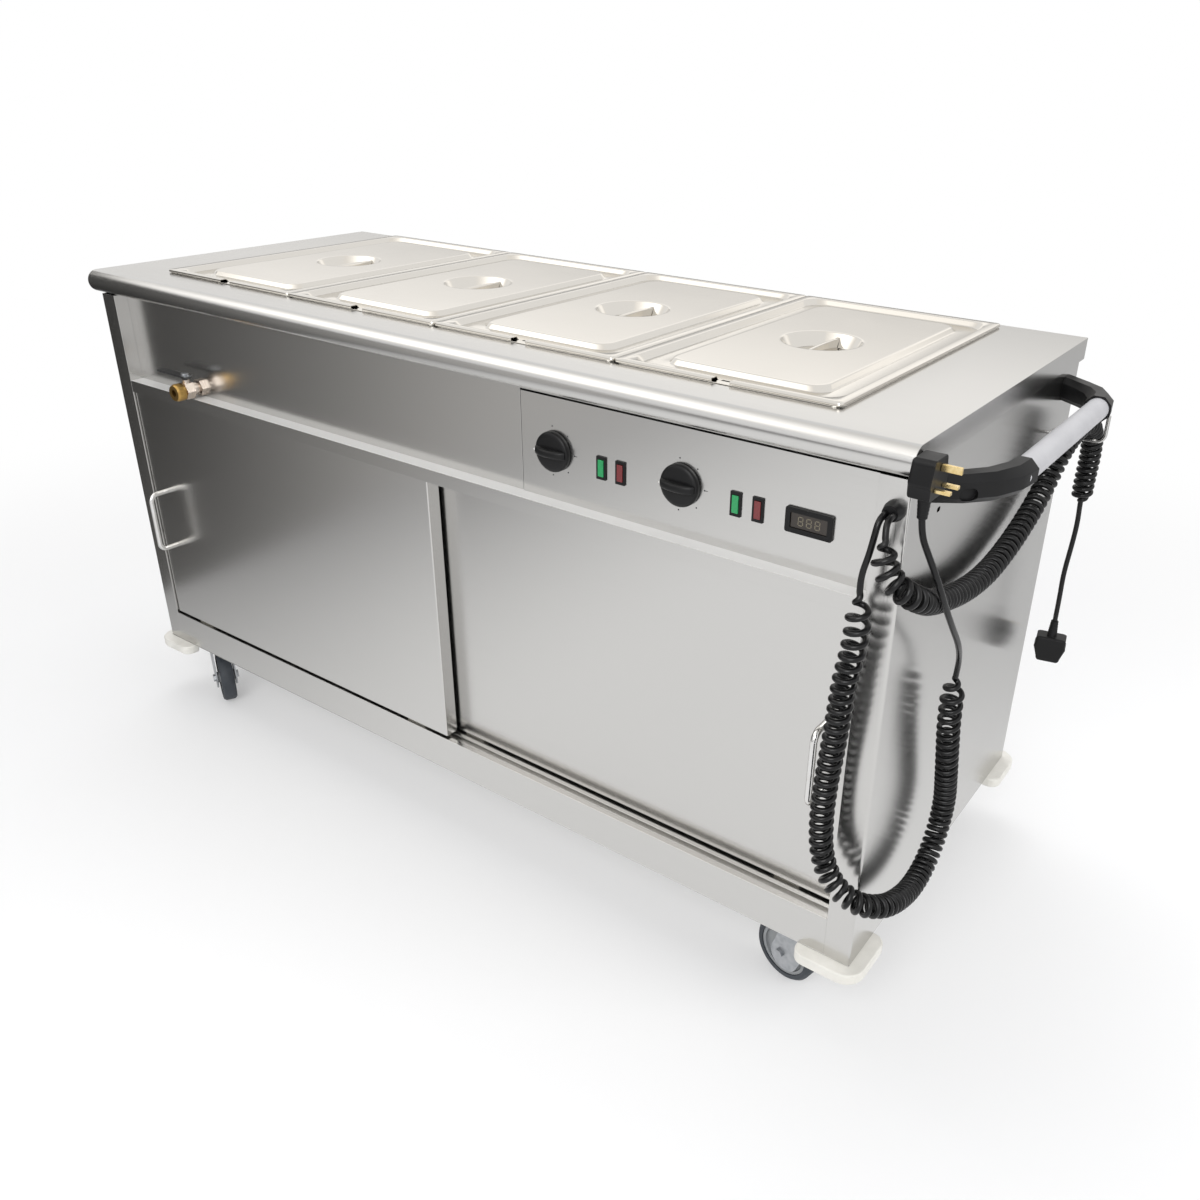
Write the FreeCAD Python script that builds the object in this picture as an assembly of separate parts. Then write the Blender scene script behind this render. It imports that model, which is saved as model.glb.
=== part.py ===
import FreeCAD, Part
import math
import os

from FreeCAD import Vector

# A heated servery trolley: a hot cupboard with sliding doors under a wet bain-marie that
# holds four gastronorm pans.  x runs along the front to the push-handle end, y from the
# front to the back, z up from the floor.  Everything is drawn with x = 0 in the middle of
# the worktop and y = 0 on the front face of the posts, and moved to the part's own frame
# when it is written.

# Driving dimensions, mm
PAN_W = 325.0          # gastronorm 1/1, short side
PAN_L = 530.0          # gastronorm 1/1, long side
PANS = 4
SHEET = 1.5            # stainless sheet of the whole carcass
TOP_HALF = 773.0       # half the length of the worktop
TOP_Z = 857.0
NOSE_H = 37.0          # height of the rolled front edge
NOSE_Y = -17.0
SKIRT_H = 31.0
BODY_HALF = 768.0
BODY_DEPTH = 606.0
BODY_Z = 125.0         # underside of the carcass, and height of the castors
POST_W = 38.0
RAIL_BOTTOM = 643.0    # front lip of the door top rail
RAIL_TOP = 664.5
TRACK_TOP = 188.0
PANEL_Y = 24.0         # upper front panel, set back behind the ledge
CONTROL_LEFT = 199.5
CONTROL_TOP = 817.0
DOOR_LAP = 25.0        # each door passes the middle by this much
DOOR_T = 23.0
LEFT_DOOR_Y = 3.0
RIGHT_DOOR_Y = 31.0
DOOR_BOTTOM = 192.0
DOOR_TOP = 655.0
PAN_DEPTH = 150.0
PAN_FRONT = 62.0       # front edge of the pan flanges
GAP = 0.3              # between pieces that lift, slide or turn on each other
RUNNING = 0.05         # radial play of spindles and axles
KNOB_X = (257.0, 462.0)
KNOB_Z = 734.0
LAMP_Z = 728.0
GREEN_X = (337.0, 542.0)
RED_X = (368.0, 573.0)
DISPLAY_X = 642.0
GLAND_X = 752.0
GLAND_Z = 779.0
CORD_D = 7.5           # round cable of both mains cords
CURL_R = 11.2          # middle of the cable to the middle of its curls
CORD_1_TURNS = 30
CORD_2_TURNS = 27
CORD_SIDES = 4         # the section of the curled part is faceted
LEAD_SIDES = 6
GLAND_END = -14.0
CABLE_OFFSET = 4.4     # each cable's place either side of the gland's middle
PLUG_T = 26.0
PLUG_V = 22.0          # from the plug's middle down to its cord entry
RELIEF = 27.0
VALVE_X = -546.0
VALVE_Z = 680.0
STEM_Y = -4.0
LEVER_Z = 703.0
TUBE_D = 30.0
TUBE_X = 837.5
TUBE_Z = 799.0
CASTOR_X = 686.0
CASTOR_FRONT = 50.0
CASTOR_REAR = 556.0
WHEEL_R = 50.0
TRAIL = 35.0
BUMPER_OUT = 20.0
BUMPER_H = 17.0
# direction in which each castor trails, degrees from +x towards +y
CASTORS = (
    (CASTOR_X, CASTOR_FRONT, 168.0),
    (-CASTOR_X, CASTOR_FRONT, -27.5),
    (-CASTOR_X, CASTOR_REAR, 20.0),
    (CASTOR_X, CASTOR_REAR, 150.0),
)

PAN_Z = TOP_Z + GAP                 # underside of the pan flanges
PAN_SHEET = 1.0
LID_Z = PAN_Z + PAN_SHEET + GAP     # underside of the lid rims
LID_TOP = 862.5
PAN_BACK = PAN_FRONT + PAN_L
PAN_MID_Y = PAN_FRONT + PAN_L / 2
PAN_X = [PAN_W * (i - (PANS - 1) / 2) for i in range(PANS)]
TANK_HALF = 640.0
TANK_FRONT = PAN_FRONT + 9.0
TANK_BACK = PAN_BACK - 9.0
TANK_Z = 690.0
UNDER_TOP = TOP_Z - SHEET
INNER = BODY_HALF - POST_W          # inner faces of the side panels


# ---- Plain helpers

def box(x0, x1, y0, y1, z0, z1):
    return Part.makeBox(x1 - x0, y1 - y0, z1 - z0, Vector(x0, y0, z0))


def rod(start, end, radius):
    return Part.makeCylinder(radius, (end - start).Length, start, end - start)


def mirror_x(shape):
    return shape.mirror(Vector(0, 0, 0), Vector(1, 0, 0))


def mirror_y(shape, y):
    return shape.mirror(Vector(0, y, 0), Vector(0, 1, 0))


def turned(shape, point, degrees, axis=Vector(0, 0, 1)):
    copy = shape.copy()
    copy.rotate(point, axis, degrees)
    return copy


def moved(shape, x, y, z):
    copy = shape.copy()
    copy.translate(Vector(x, y, z))
    return copy


def lifted(u, v, axis, level):
    """A flat point (u, v) set on the plane square to an axis."""
    if axis == "x":
        return Vector(level, u, v)
    if axis == "y":
        return Vector(u, level, v)
    return Vector(u, v, level)


def outline(corners, axis, level):
    """A closed wire through corners (u, v, radius), each rounded by its radius."""
    points = [lifted(u, v, axis, level) for u, v, radius in corners]
    edges = []
    starts = []
    ends = []
    for i, (u, v, radius) in enumerate(corners):
        here = points[i]
        back = (points[i - 1] - here).normalize()
        ahead = (points[(i + 1) % len(points)] - here).normalize()
        half = back.getAngle(ahead) / 2
        reach = radius / math.tan(half)
        starts.append(here + back * reach)
        ends.append(here + ahead * reach)
        if radius > 0:
            inward = (back + ahead).normalize()
            middle = here + inward * (radius / math.sin(half) - radius)
            edges.append(Part.Arc(starts[i], middle, ends[i]).toShape())
    for i in range(len(points)):
        start = ends[i - 1]
        if (starts[i] - start).Length > 1e-6:
            edges.append(Part.LineSegment(start, starts[i]).toShape())
    return Part.Wire(Part.__sortEdges__(edges))


def rectangle(u0, u1, v0, v1, radius):
    return [(u0, v0, radius), (u1, v0, radius), (u1, v1, radius), (u0, v1, radius)]


def plate(corners, axis, low, high):
    """A rounded outline given thickness between two levels of an axis."""
    face = Part.Face(outline(corners, axis, low))
    return face.extrude(lifted(0, 0, axis, high - low))


def turning(profile, centre, direction):
    """A solid turned from (radius, height) points about an axis from a centre."""
    axis = Vector(direction).normalize()
    side = Vector(0, 0, 1) if abs(axis.z) < 0.5 else Vector(1, 0, 0)
    points = [centre + side * radius + axis * height for radius, height in profile]
    face = Part.Face(Part.makePolygon(points + points[:1]))
    return face.revolve(centre, axis, 360)


def hexagon(centre, direction, flats, thickness):
    """A nut: a hexagon across its flats, with two flats level."""
    radius = flats / math.sqrt(3)
    axis = Vector(direction).normalize()
    up = Vector(0, 0, 1)
    side = axis.cross(up)
    points = []
    for i in range(7):
        angle = math.radians(60 * i)
        points.append(centre + side * radius * math.cos(angle) + up * radius * math.sin(angle))
    return Part.Face(Part.makePolygon(points)).extrude(axis * thickness)


def tray(x0, x1, y0, y1, z0, z1):
    """A folded sheet tray, open below."""
    inside = box(x0 + SHEET, x1 - SHEET, y0 + SHEET, y1 - SHEET, z0, z1 - SHEET)
    return box(x0, x1, y0, y1, z0, z1).cut(inside)


# ---- Worktop, tank and pans

def make_worktop():
    radius = NOSE_H / 2
    nose_y = NOSE_Y + radius
    nose_z = TOP_Z - radius
    lip_y = 20.0
    back = BODY_DEPTH + SHEET
    skirt_z = TOP_Z - SKIRT_H
    deck = box(-TOP_HALF, TOP_HALF, nose_y, back, skirt_z, TOP_Z)
    lip = box(-TOP_HALF, TOP_HALF, nose_y, lip_y, TOP_Z - NOSE_H, TOP_Z)
    nose = rod(Vector(-TOP_HALF, nose_y, nose_z), Vector(TOP_HALF, nose_y, nose_z), radius)
    top = deck.fuse([lip, nose])
    inner = TOP_HALF - SHEET
    hollow = box(-inner, inner, lip_y, back - SHEET, skirt_z - 20, UNDER_TOP)
    roll = rod(Vector(-inner, nose_y, nose_z), Vector(inner, nose_y, nose_z), radius - SHEET)
    slot = box(-inner, inner, nose_y, lip_y, TOP_Z - NOSE_H + SHEET, UNDER_TOP)
    opening = plate(rectangle(-TANK_HALF, TANK_HALF, TANK_FRONT, TANK_BACK, 25), "z", 840, 880)
    return top.cut([hollow, roll, slot, opening]).removeSplitter()


def make_tank():
    half = TANK_HALF
    front = TANK_FRONT
    back = TANK_BACK
    shell = plate(
        rectangle(-half - SHEET, half + SHEET, front - SHEET, back + SHEET, 25 + SHEET),
        "z", TANK_Z - SHEET, UNDER_TOP)
    rim = plate(rectangle(-half - 18, half + 18, front - 10, back + 10, 25), "z",
                UNDER_TOP - SHEET, UNDER_TOP)
    inside = plate(rectangle(-half, half, front, back, 25), "z", TANK_Z, UNDER_TOP + 5)
    tank = shell.fuse(rim).cut(inside)
    drain = rod(Vector(VALVE_X, 100, TANK_Z - 10), Vector(VALVE_X, 100, TANK_Z + 10), 6.0)
    legs = [rod(Vector(x, 60, 700), Vector(x, 90, 700), 4.0) for x in (540.0, 600.0)]
    return tank.cut([drain] + legs).removeSplitter()


def make_support_bars():
    bars = []
    for i in range(1, PANS):
        x = PAN_W * (i - PANS / 2)
        outer = box(x - 8, x + 8, TANK_FRONT, TANK_BACK, TOP_Z - 22, TOP_Z)
        inner = box(x - 8 + SHEET, x + 8 - SHEET, TANK_FRONT, TANK_BACK, TOP_Z - 22, UNDER_TOP)
        bars.append(outer.cut(inner))
    return bars


def tapered(half_x, half_y, radius, x, top, bottom, draft):
    """The tapered well of a pan: a loft from its mouth to its smaller floor."""
    wires = []
    for level, shrink in ((top, 0.0), (bottom + 14, draft), (bottom, draft + 9)):
        a = half_x - shrink
        b = half_y - shrink
        wires.append(outline(
            rectangle(x - a, x + a, PAN_MID_Y - b, PAN_MID_Y + b, radius), "z", level))
    return Part.makeLoft(wires, True, True)


def make_pan(x):
    half_w = PAN_W / 2 - 0.4
    half_l = PAN_L / 2
    mouth_w = 152.0
    mouth_l = 254.9
    rim_top = PAN_Z + PAN_SHEET
    bottom = rim_top - PAN_DEPTH
    flange = plate(
        rectangle(x - half_w, x + half_w, PAN_MID_Y - half_l, PAN_MID_Y + half_l, 14),
        "z", PAN_Z, rim_top)
    outer = tapered(mouth_w, mouth_l, 32, x, rim_top, bottom, 10)
    inner = tapered(mouth_w - 1, mouth_l - 1, 31, x, rim_top, bottom + PAN_SHEET, 10)
    return flange.fuse(outer).cut(inner).removeSplitter()


def make_lid(x):
    """Pressed lid: rim, moat, raised middle and a round finger dish with its fin handle."""
    half_w = PAN_W / 2 - 0.4
    half_l = PAN_L / 2
    y = PAN_MID_Y
    t = PAN_SHEET
    moat_z = LID_TOP - 8
    plateau_z = LID_TOP - 1
    dish_z = LID_TOP - 20
    moat_in = 50.0
    wall_h = plateau_z - dish_z
    notch_w = 26.0
    notch_l = 26.0

    def ring(margin, radius, low, high):
        return plate(rectangle(x - half_w + margin, x + half_w - margin,
                               y - half_l + margin, y + half_l - margin, radius), "z", low, high)

    rim = ring(0, 6, LID_Z, LID_TOP).cut(ring(t, 5, LID_Z - 1, LID_TOP - t))
    well = ring(13 - t, 31, moat_z - t, LID_TOP)
    lid = rim.cut(ring(13, 30, LID_Z - 1, LID_TOP + 1)).fuse(
        well.cut(ring(13, 30, moat_z, LID_TOP + 1)))
    middle = ring(moat_in, 24, moat_z - t, plateau_z)
    middle = middle.cut(ring(moat_in + t, 23, moat_z - 2 * t, plateau_z - t))
    lid = lid.cut(ring(moat_in + t, 23, moat_z - 2 * t, moat_z + t)).fuse(middle)
    centre = Vector(x, y, dish_z - t)
    up = Vector(0, 0, 1)
    dish = turning([(0, 0), (46, 0), (58, wall_h), (58, wall_h + t), (0, wall_h + t)],
                   centre, up)
    bowl = turning([(0, 0), (45.5, 0), (57, wall_h), (57, wall_h + t), (0, wall_h + t)],
                   centre + up * t, up)
    notch = box(x - notch_w / 2, x + notch_w / 2, PAN_FRONT - 1, PAN_FRONT + notch_l,
                moat_z - 5, LID_TOP + 5)
    lid = lid.fuse(dish).cut([bowl, notch]).removeSplitter()
    fin_z = plateau_z - 4.5
    fin = plate([(y - 54, fin_z, 3), (y + 54, fin_z, 3), (y + 46, dish_z, 0),
                 (y - 46, dish_z, 0)], "x", x - 2.5, x + 2.5)
    fin = fin.cut(lid)
    return [lid, fin]


# ---- Carcass

def make_side(right):
    """Double-skinned side: the outer skin folds round the front to form the post."""
    outer = plate([(INNER, 0, 0), (BODY_HALF, 0, 3), (BODY_HALF, BODY_DEPTH, 3),
                   (INNER, BODY_DEPTH, 0)], "z", BODY_Z + SHEET, UNDER_TOP)
    inner = plate([(INNER + SHEET, SHEET, 0), (BODY_HALF - SHEET, SHEET, 1.5),
                   (BODY_HALF - SHEET, BODY_DEPTH - SHEET, 1.5),
                   (INNER + SHEET, BODY_DEPTH - SHEET, 0)], "z", BODY_Z, TOP_Z)
    notch = box(INNER - 1, BODY_HALF + 1, -1, 21, TOP_Z - NOSE_H - 4, TOP_Z)
    side = outer.cut([inner, notch])
    if right:
        gland_hole = rod(Vector(GLAND_X, -1, GLAND_Z), Vector(GLAND_X, 3, GLAND_Z), 8.0)
        slot = plate(rectangle(86, 96, 752, 758, 2.9), "x", BODY_HALF - 3, BODY_HALF + 1)
        return side.cut([gland_hole, slot])
    return mirror_x(side)


def make_back():
    return box(-INNER, INNER, BODY_DEPTH - SHEET, BODY_DEPTH, BODY_Z + SHEET, UNDER_TOP)


def make_base():
    pan = box(-BODY_HALF, BODY_HALF, 0, BODY_DEPTH, BODY_Z, BODY_Z + SHEET)
    channel = tray(CASTOR_X - 50, CASTOR_X + 30, 62, BODY_DEPTH - 4, BODY_Z + SHEET, 148)
    return pan.fuse([channel, mirror_x(channel)])


def make_shelves():
    """The perforated floor over the cupboard's element, and the middle shelf."""
    floor = tray(-INNER, INNER, 60, BODY_DEPTH - SHEET, TRACK_TOP - 18, TRACK_TOP)
    slots = []
    for row in (200.0, 310.0, 420.0):
        for i in range(12):
            x = 110.0 * (i - 5.5)
            slots.append(box(x - 35, x + 35, row - 4, row + 4, TRACK_TOP - 5, TRACK_TOP + 1))
    shelf = tray(-INNER, INNER, 66, 590, 376, 400)
    return [floor.cut(slots), shelf]


def make_track():
    """Bottom track folded from one sheet, with a groove for each door's glides."""
    depth = 10.0
    form = box(-INNER, INNER, 0, 60, BODY_Z + SHEET, TRACK_TOP)
    inside = box(-INNER, INNER, SHEET, 60 - SHEET, BODY_Z + SHEET, TRACK_TOP - SHEET)
    track = form.cut(inside)
    for door_y in (LEFT_DOOR_Y, RIGHT_DOOR_Y):
        middle = door_y + DOOR_T / 2
        low = TRACK_TOP - depth
        trough = box(-INNER, INNER, middle - 5.5 - SHEET, middle + 5.5 + SHEET,
                     low - SHEET, TRACK_TOP)
        groove = box(-INNER, INNER, middle - 5.5, middle + 5.5, low, TRACK_TOP)
        track = track.fuse(trough).cut(groove)
    return track.removeSplitter()


def make_top_rail():
    """Ledge above the doors, with the lips between which their top edges slide."""
    top = box(-INNER, INNER, 0, 69.5, RAIL_TOP - SHEET, RAIL_TOP)
    front = box(-INNER, INNER, 0, SHEET, RAIL_BOTTOM, RAIL_TOP)
    middle = box(-INNER, INNER, 28, 28 + SHEET, RAIL_BOTTOM + 2, RAIL_TOP - SHEET)
    rear = box(-INNER, INNER, 58.5, 60, RAIL_BOTTOM + 2, RAIL_TOP - SHEET)
    upstand = box(-INNER, INNER, 68, 69.5, RAIL_TOP - SHEET, 692)
    pipe = rod(Vector(VALVE_X, 60, VALVE_Z), Vector(VALVE_X, 80, VALVE_Z), 8.4)
    return top.fuse([front, middle, rear, upstand]).cut(pipe).removeSplitter()


def make_upper_panel():
    panel = box(-INNER, CONTROL_LEFT - 0.5, PANEL_Y, PANEL_Y + SHEET, RAIL_TOP, UNDER_TOP)
    pipe = rod(Vector(VALVE_X, 20, VALVE_Z), Vector(VALVE_X, 40, VALVE_Z), 8.4)
    return panel.cut(pipe)


def make_control_panel():
    front = PANEL_Y - SHEET
    outer = box(CONTROL_LEFT, INNER, front, front + 14, RAIL_TOP, CONTROL_TOP)
    inner = box(CONTROL_LEFT + SHEET, INNER - SHEET, PANEL_Y, front + 14,
                RAIL_TOP + SHEET, CONTROL_TOP - SHEET)
    holes = [rod(Vector(x, 0, KNOB_Z), Vector(x, 60, KNOB_Z), 5.0) for x in KNOB_X]
    for x in GREEN_X + RED_X:
        holes.append(box(x - 6, x + 6, 0, 60, LAMP_Z - 13.5, LAMP_Z + 13.5))
    holes.append(box(DISPLAY_X - 27, DISPLAY_X + 27, 0, 60, LAMP_Z - 13, LAMP_Z + 13))
    return outer.cut([inner] + holes)


# ---- Doors

def make_door(x0, x1, y):
    """Double-skinned door: a folded outer tray closed by an inner liner."""
    outer = plate([(x0, y, 2), (x1, y, 2), (x1, y + DOOR_T - SHEET, 0),
                   (x0, y + DOOR_T - SHEET, 0)], "z", DOOR_BOTTOM, DOOR_TOP)
    inner = box(x0 + SHEET, x1 - SHEET, y + SHEET, y + DOOR_T,
                DOOR_BOTTOM + SHEET, DOOR_TOP - SHEET)
    liner = box(x0, x1, y + DOOR_T - SHEET, y + DOOR_T, DOOR_BOTTOM, DOOR_TOP)
    return [outer.cut(inner), liner]


def make_bow_handle(x, y, z):
    """Round rod bent to a bow, 110 mm between its legs."""
    radius = 4.75
    reach = 35.5
    half = 55.0
    bend = 14.0
    points = [Vector(x, y, z - half), Vector(x, y - reach, z - half),
              Vector(x, y - reach, z + half), Vector(x, y, z + half)]
    ring = Part.Wire(Part.makeCircle(radius, points[0], Vector(0, 1, 0)))
    return bent_path(points, bend).makePipeShell([ring], True, False)


def bent_path(points, bend):
    """An open wire through points, each inner corner rounded by one bending radius."""
    edges = []
    start = points[0]
    for before, here, after in zip(points, points[1:], points[2:]):
        back = (before - here).normalize()
        ahead = (after - here).normalize()
        half = back.getAngle(ahead) / 2
        reach = bend / math.tan(half)
        middle = here + (back + ahead).normalize() * (bend / math.sin(half) - bend)
        edges.append(Part.LineSegment(start, here + back * reach).toShape())
        edges.append(Part.Arc(here + back * reach, middle, here + ahead * reach).toShape())
        start = here + ahead * reach
    edges.append(Part.LineSegment(start, points[-1]).toShape())
    return Part.Wire(edges)


def facet_ring(centre, direction, radius, sides):
    """A closed polygon round a point, square to a direction."""
    along = Vector(direction).normalize()
    across = along.cross(Vector(0, 1, 0) if abs(along.y) < 0.9 else Vector(1, 0, 0)).normalize()
    up = along.cross(across)
    points = []
    for i in range(sides + 1):
        angle = 2 * math.pi * i / sides
        side = across * math.cos(angle) + up * math.sin(angle)
        points.append(centre + side * radius)
    return Part.makePolygon(points)


def make_glides(x0, x1, door_y):
    """Two nylon glides under a door, running in its groove."""
    middle = door_y + DOOR_T / 2
    low = TRACK_TOP - 10 + GAP
    glides = []
    for x in (x0 + 60, x1 - 100):
        glides.append(plate([(x, low, 4), (x + 40, low, 4), (x + 40, DOOR_BOTTOM, 0),
                             (x, DOOR_BOTTOM, 0)], "y", middle - 5.2, middle + 5.2))
    return glides


# ---- Controls

def make_knob(x):
    """Knob cap with a crowned grip across it, and the spindle pressed into its back."""
    back = PANEL_Y - SHEET - GAP
    centre = Vector(x, back, KNOB_Z)
    cap = turning([(0, 0), (28, 0), (28, 6), (25.5, 9), (0, 9)], centre, Vector(0, -1, 0))
    low = KNOB_Z - 7.0
    left = Vector(x - 25.6, back - 8, low)
    right = Vector(x + 25.6, back - 8, low)
    crown = Part.Arc(left, Vector(x, back - 18.8, low), right).toShape()
    foot = Part.LineSegment(right, left).toShape()
    grip = Part.Face(Part.Wire([crown, foot])).extrude(Vector(0, 0, 14))
    grip = grip.makeChamfer(2.5, [e for e in grip.Edges if e.Length > 52 and e.Curve.TypeId.endswith("Circle")])
    spindle = rod(Vector(x, back - 12, KNOB_Z), Vector(x, 44, KNOB_Z), 3.0)
    return [cap.fuse(grip).cut(spindle).removeSplitter(), spindle]


def make_thermostats():
    bodies = []
    for x in KNOB_X:
        body = box(x - 22, x + 22, PANEL_Y + 3, 56, KNOB_Z - 18, KNOB_Z + 18)
        bush = rod(Vector(x, PANEL_Y, KNOB_Z), Vector(x, PANEL_Y + 4, KNOB_Z), 8.0)
        bore = rod(Vector(x, 0, KNOB_Z), Vector(x, 44 + GAP, KNOB_Z), 3.0 + RUNNING)
        bodies.append(body.fuse(bush).cut(bore))
    return bodies


def make_bezels():
    front = PANEL_Y - SHEET
    pieces = []
    for x in GREEN_X + RED_X:
        frame = box(x - 7.75, x + 7.75, front - 2.5, front, LAMP_Z - 16, LAMP_Z + 16)
        window = box(x - 4.5, x + 4.5, front - 3, front, LAMP_Z - 11.5, LAMP_Z + 11.5)
        body = box(x - 6, x + 6, front, 46, LAMP_Z - 13.5, LAMP_Z + 13.5)
        pieces.append(frame.cut(window).fuse(body).removeSplitter())
    frame = plate(rectangle(DISPLAY_X - 31, DISPLAY_X + 31, LAMP_Z - 16, LAMP_Z + 16, 3),
                  "y", front - 4, front)
    window = box(DISPLAY_X - 24, DISPLAY_X + 24, front - 5, front, LAMP_Z - 9.5, LAMP_Z + 9.5)
    body = box(DISPLAY_X - 27, DISPLAY_X + 27, front, 46, LAMP_Z - 13, LAMP_Z + 13)
    pieces.append(frame.cut(window).fuse(body).removeSplitter())
    return pieces


def make_lenses(places):
    front = PANEL_Y - SHEET
    return [box(x - 4.5, x + 4.5, front - 3.5, front, LAMP_Z - 11.5, LAMP_Z + 11.5)
            for x in places]


def make_display_window():
    front = PANEL_Y - SHEET
    return box(DISPLAY_X - 24, DISPLAY_X + 24, front - 2, front, LAMP_Z - 9.5, LAMP_Z + 9.5)


def rod_along(points, radius, bend):
    """A bent rod drawn with a six-sided section, for pieces that are mostly hidden."""
    ring = facet_ring(points[0], points[1] - points[0], radius, 6)
    return bent_path(points, bend).makePipeShell([ring], True, False)


def make_elements():
    """Sheathed elements: one loop in the tank, one under the cupboard's floor."""
    tank = [(600, 60), (600, 520), (-600, 520), (-600, 220), (540, 220), (540, 60)]
    base = [(700, 220), (-690, 220), (-690, 400), (700, 400)]
    wet = rod_along([Vector(x, y, 700) for x, y in tank], 4.0, 28.0)
    dry = rod_along([Vector(x, y, 152) for x, y in base], 4.0, 28.0)
    return [wet, dry]


# ---- Drain tap

def make_valve():
    """Tail pipe from the tank, locknut at the panel, and the valve with its brass outlet."""
    x = VALVE_X
    z = VALVE_Z
    forward = Vector(0, -1, 0)
    pipe = rod(Vector(x, 1, z), Vector(x, 108, z), 8.4)
    rise = rod(Vector(x, 100, z), Vector(x, 100, TANK_Z - SHEET), 8.4)
    bores = [rod(Vector(x, -2, z), Vector(x, 100, z), 6.0),
             rod(Vector(x, 100, z), Vector(x, 100, TANK_Z), 6.0)]
    tail = pipe.fuse(rise).cut(bores)
    nut = hexagon(Vector(x, PANEL_Y, z), forward, 26, 8)
    nut = nut.cut(rod(Vector(x, 0, z), Vector(x, 40, z), 8.4))
    neck = rod(Vector(x, 12, z), Vector(x, 4, z), 10.5)
    block = hexagon(Vector(x, 4, z), forward, 27, 16)
    end = turning([(0, 0), (13, 0), (15, 3), (15, 14), (13, 18), (0, 18)],
                  Vector(x, -12, z), forward)
    boss = rod(Vector(x, STEM_Y, z), Vector(x, STEM_Y, z + 19), 6.5)
    body = neck.fuse([block, end, boss])
    body = body.cut([rod(Vector(x, 1, z), Vector(x, 20, z), 8.4),
                     rod(Vector(x, -40, z), Vector(x, 2, z), 6.0),
                     rod(Vector(x, STEM_Y, z + 8), Vector(x, STEM_Y, z + 30), 4.0 + RUNNING)])
    return [tail, nut, body.removeSplitter()]


def make_lever():
    """Lever pressed from strip, lying along the panel while the tap is shut."""
    x = VALVE_X
    strip = plate([(x - 74, STEM_Y - 8, 7), (x + 14, STEM_Y - 8, 7),
                   (x + 14, STEM_Y + 8, 7), (x - 74, STEM_Y + 8, 7)], "z", LEVER_Z, LEVER_Z + 3)
    stem = rod(Vector(x, STEM_Y, VALVE_Z + 8 + GAP), Vector(x, STEM_Y, LEVER_Z + 6), 4.0)
    cap = rod(Vector(x, STEM_Y, LEVER_Z + 3), Vector(x, STEM_Y, LEVER_Z + 7), 6.5)
    return strip.fuse([stem, cap]).removeSplitter()


# ---- Push handle

def make_brackets():
    """Moulded elbows: a bevelled arm that sweeps in plan and ends in a round socket."""
    root = Vector(768.0, 53.0, 795.0)
    heading = 35.0
    bend = 94.7
    run = 35.6
    along = Vector(math.cos(math.radians(heading)), math.sin(math.radians(heading)), 0)
    start = root + along * run
    centre = Vector(TUBE_X - bend, 151.0, 0)
    stations = [(root - along * 14, heading, 15.0, 17.0, 7.0), (start, heading, 15.5, 17.0, 7.5)]
    for share in (0.35, 0.7, 1.0):
        angle = heading + (90 - heading) * share
        turn = math.radians(angle - 90)
        place = centre + Vector(bend * math.cos(turn), bend * math.sin(turn), 0)
        place.z = root.z + (TUBE_Z - root.z) * share
        half = 15.5 + (17.5 - 15.5) * share
        stations.append((place, angle, half, 17.0 + 0.5 * share, 7.5 + 2.7 * share))
    wires = [section(*station) for station in stations]
    arm = Part.makeLoft(wires, True, True)
    arm = arm.cut(box(700, BODY_HALF, 0, 200, 700, 900))
    socket = rod(Vector(TUBE_X, 133, TUBE_Z), Vector(TUBE_X, 200, TUBE_Z), TUBE_D / 2)
    dimple = plate([(-10.5, 782, 7.9), (10.5, 782, 7.9), (10.5, 798, 7.9), (-10.5, 798, 7.9)],
                   "y", -8, 6)
    dimple = moved(turned(dimple, Vector(0, 0, 0), heading + 6), 808, 64, 0)
    front = arm.cut([socket, dimple])
    return [front, mirror_y(front, BODY_DEPTH / 2)]


def section(place, heading, half_width, half_height, bevel):
    """An eight-sided, bevelled section of the arm, square to its heading."""
    a = half_width
    b = half_height
    corners = [(-a, bevel - b), (bevel - a, -b), (a - bevel, -b), (a, bevel - b),
               (a, b - bevel), (a - bevel, b), (bevel - a, b), (-a, b - bevel)]
    points = [Vector(0, u, v) for u, v in corners]
    wire = Part.makePolygon(points + points[:1])
    wire.rotate(Vector(0, 0, 0), Vector(0, 0, 1), heading)
    wire.translate(place)
    return wire


def make_tube():
    ends = (133.0, BODY_DEPTH - 133.0)
    return rod(Vector(TUBE_X, ends[0], TUBE_Z), Vector(TUBE_X, ends[1], TUBE_Z), TUBE_D / 2)


# ---- Bumpers and castors

def make_bumpers():
    """Moulded corner pieces under the carcass, standing out past its faces."""
    out_x = BODY_HALF + BUMPER_OUT
    bumpers = []
    for side in (1, -1):
        for edge, way in ((0.0, -1), (BODY_DEPTH, 1)):
            out_y = edge + way * BUMPER_OUT
            in_y = edge - way * 8
            end_y = edge - way * 80
            corners = [(690, in_y, 0), (690, out_y, 18), (out_x, out_y, 30),
                       (out_x, end_y, 18), (756, end_y, 0), (756, in_y, 6)]
            corners = [(side * u, v, radius) for u, v, radius in corners]
            bumpers.append(plate(corners, "z", BODY_Z - BUMPER_H, BODY_Z))
    return bumpers


def make_castor_plate(x, y):
    """Top plate with its race and the king pin that the fork turns on."""
    top = plate(rectangle(x - 52, x + 52, y - 40, y + 40, 8), "z", BODY_Z - 3.5, BODY_Z)
    up = Vector(0, 0, 1)
    pin = turning([(0, 0), (10, 0), (10, 5), (6, 5), (6, 10), (24, 10), (24, 17.5), (0, 17.5)],
                  Vector(x, y, 104.5), up)
    return top.fuse(pin).removeSplitter()


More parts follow.
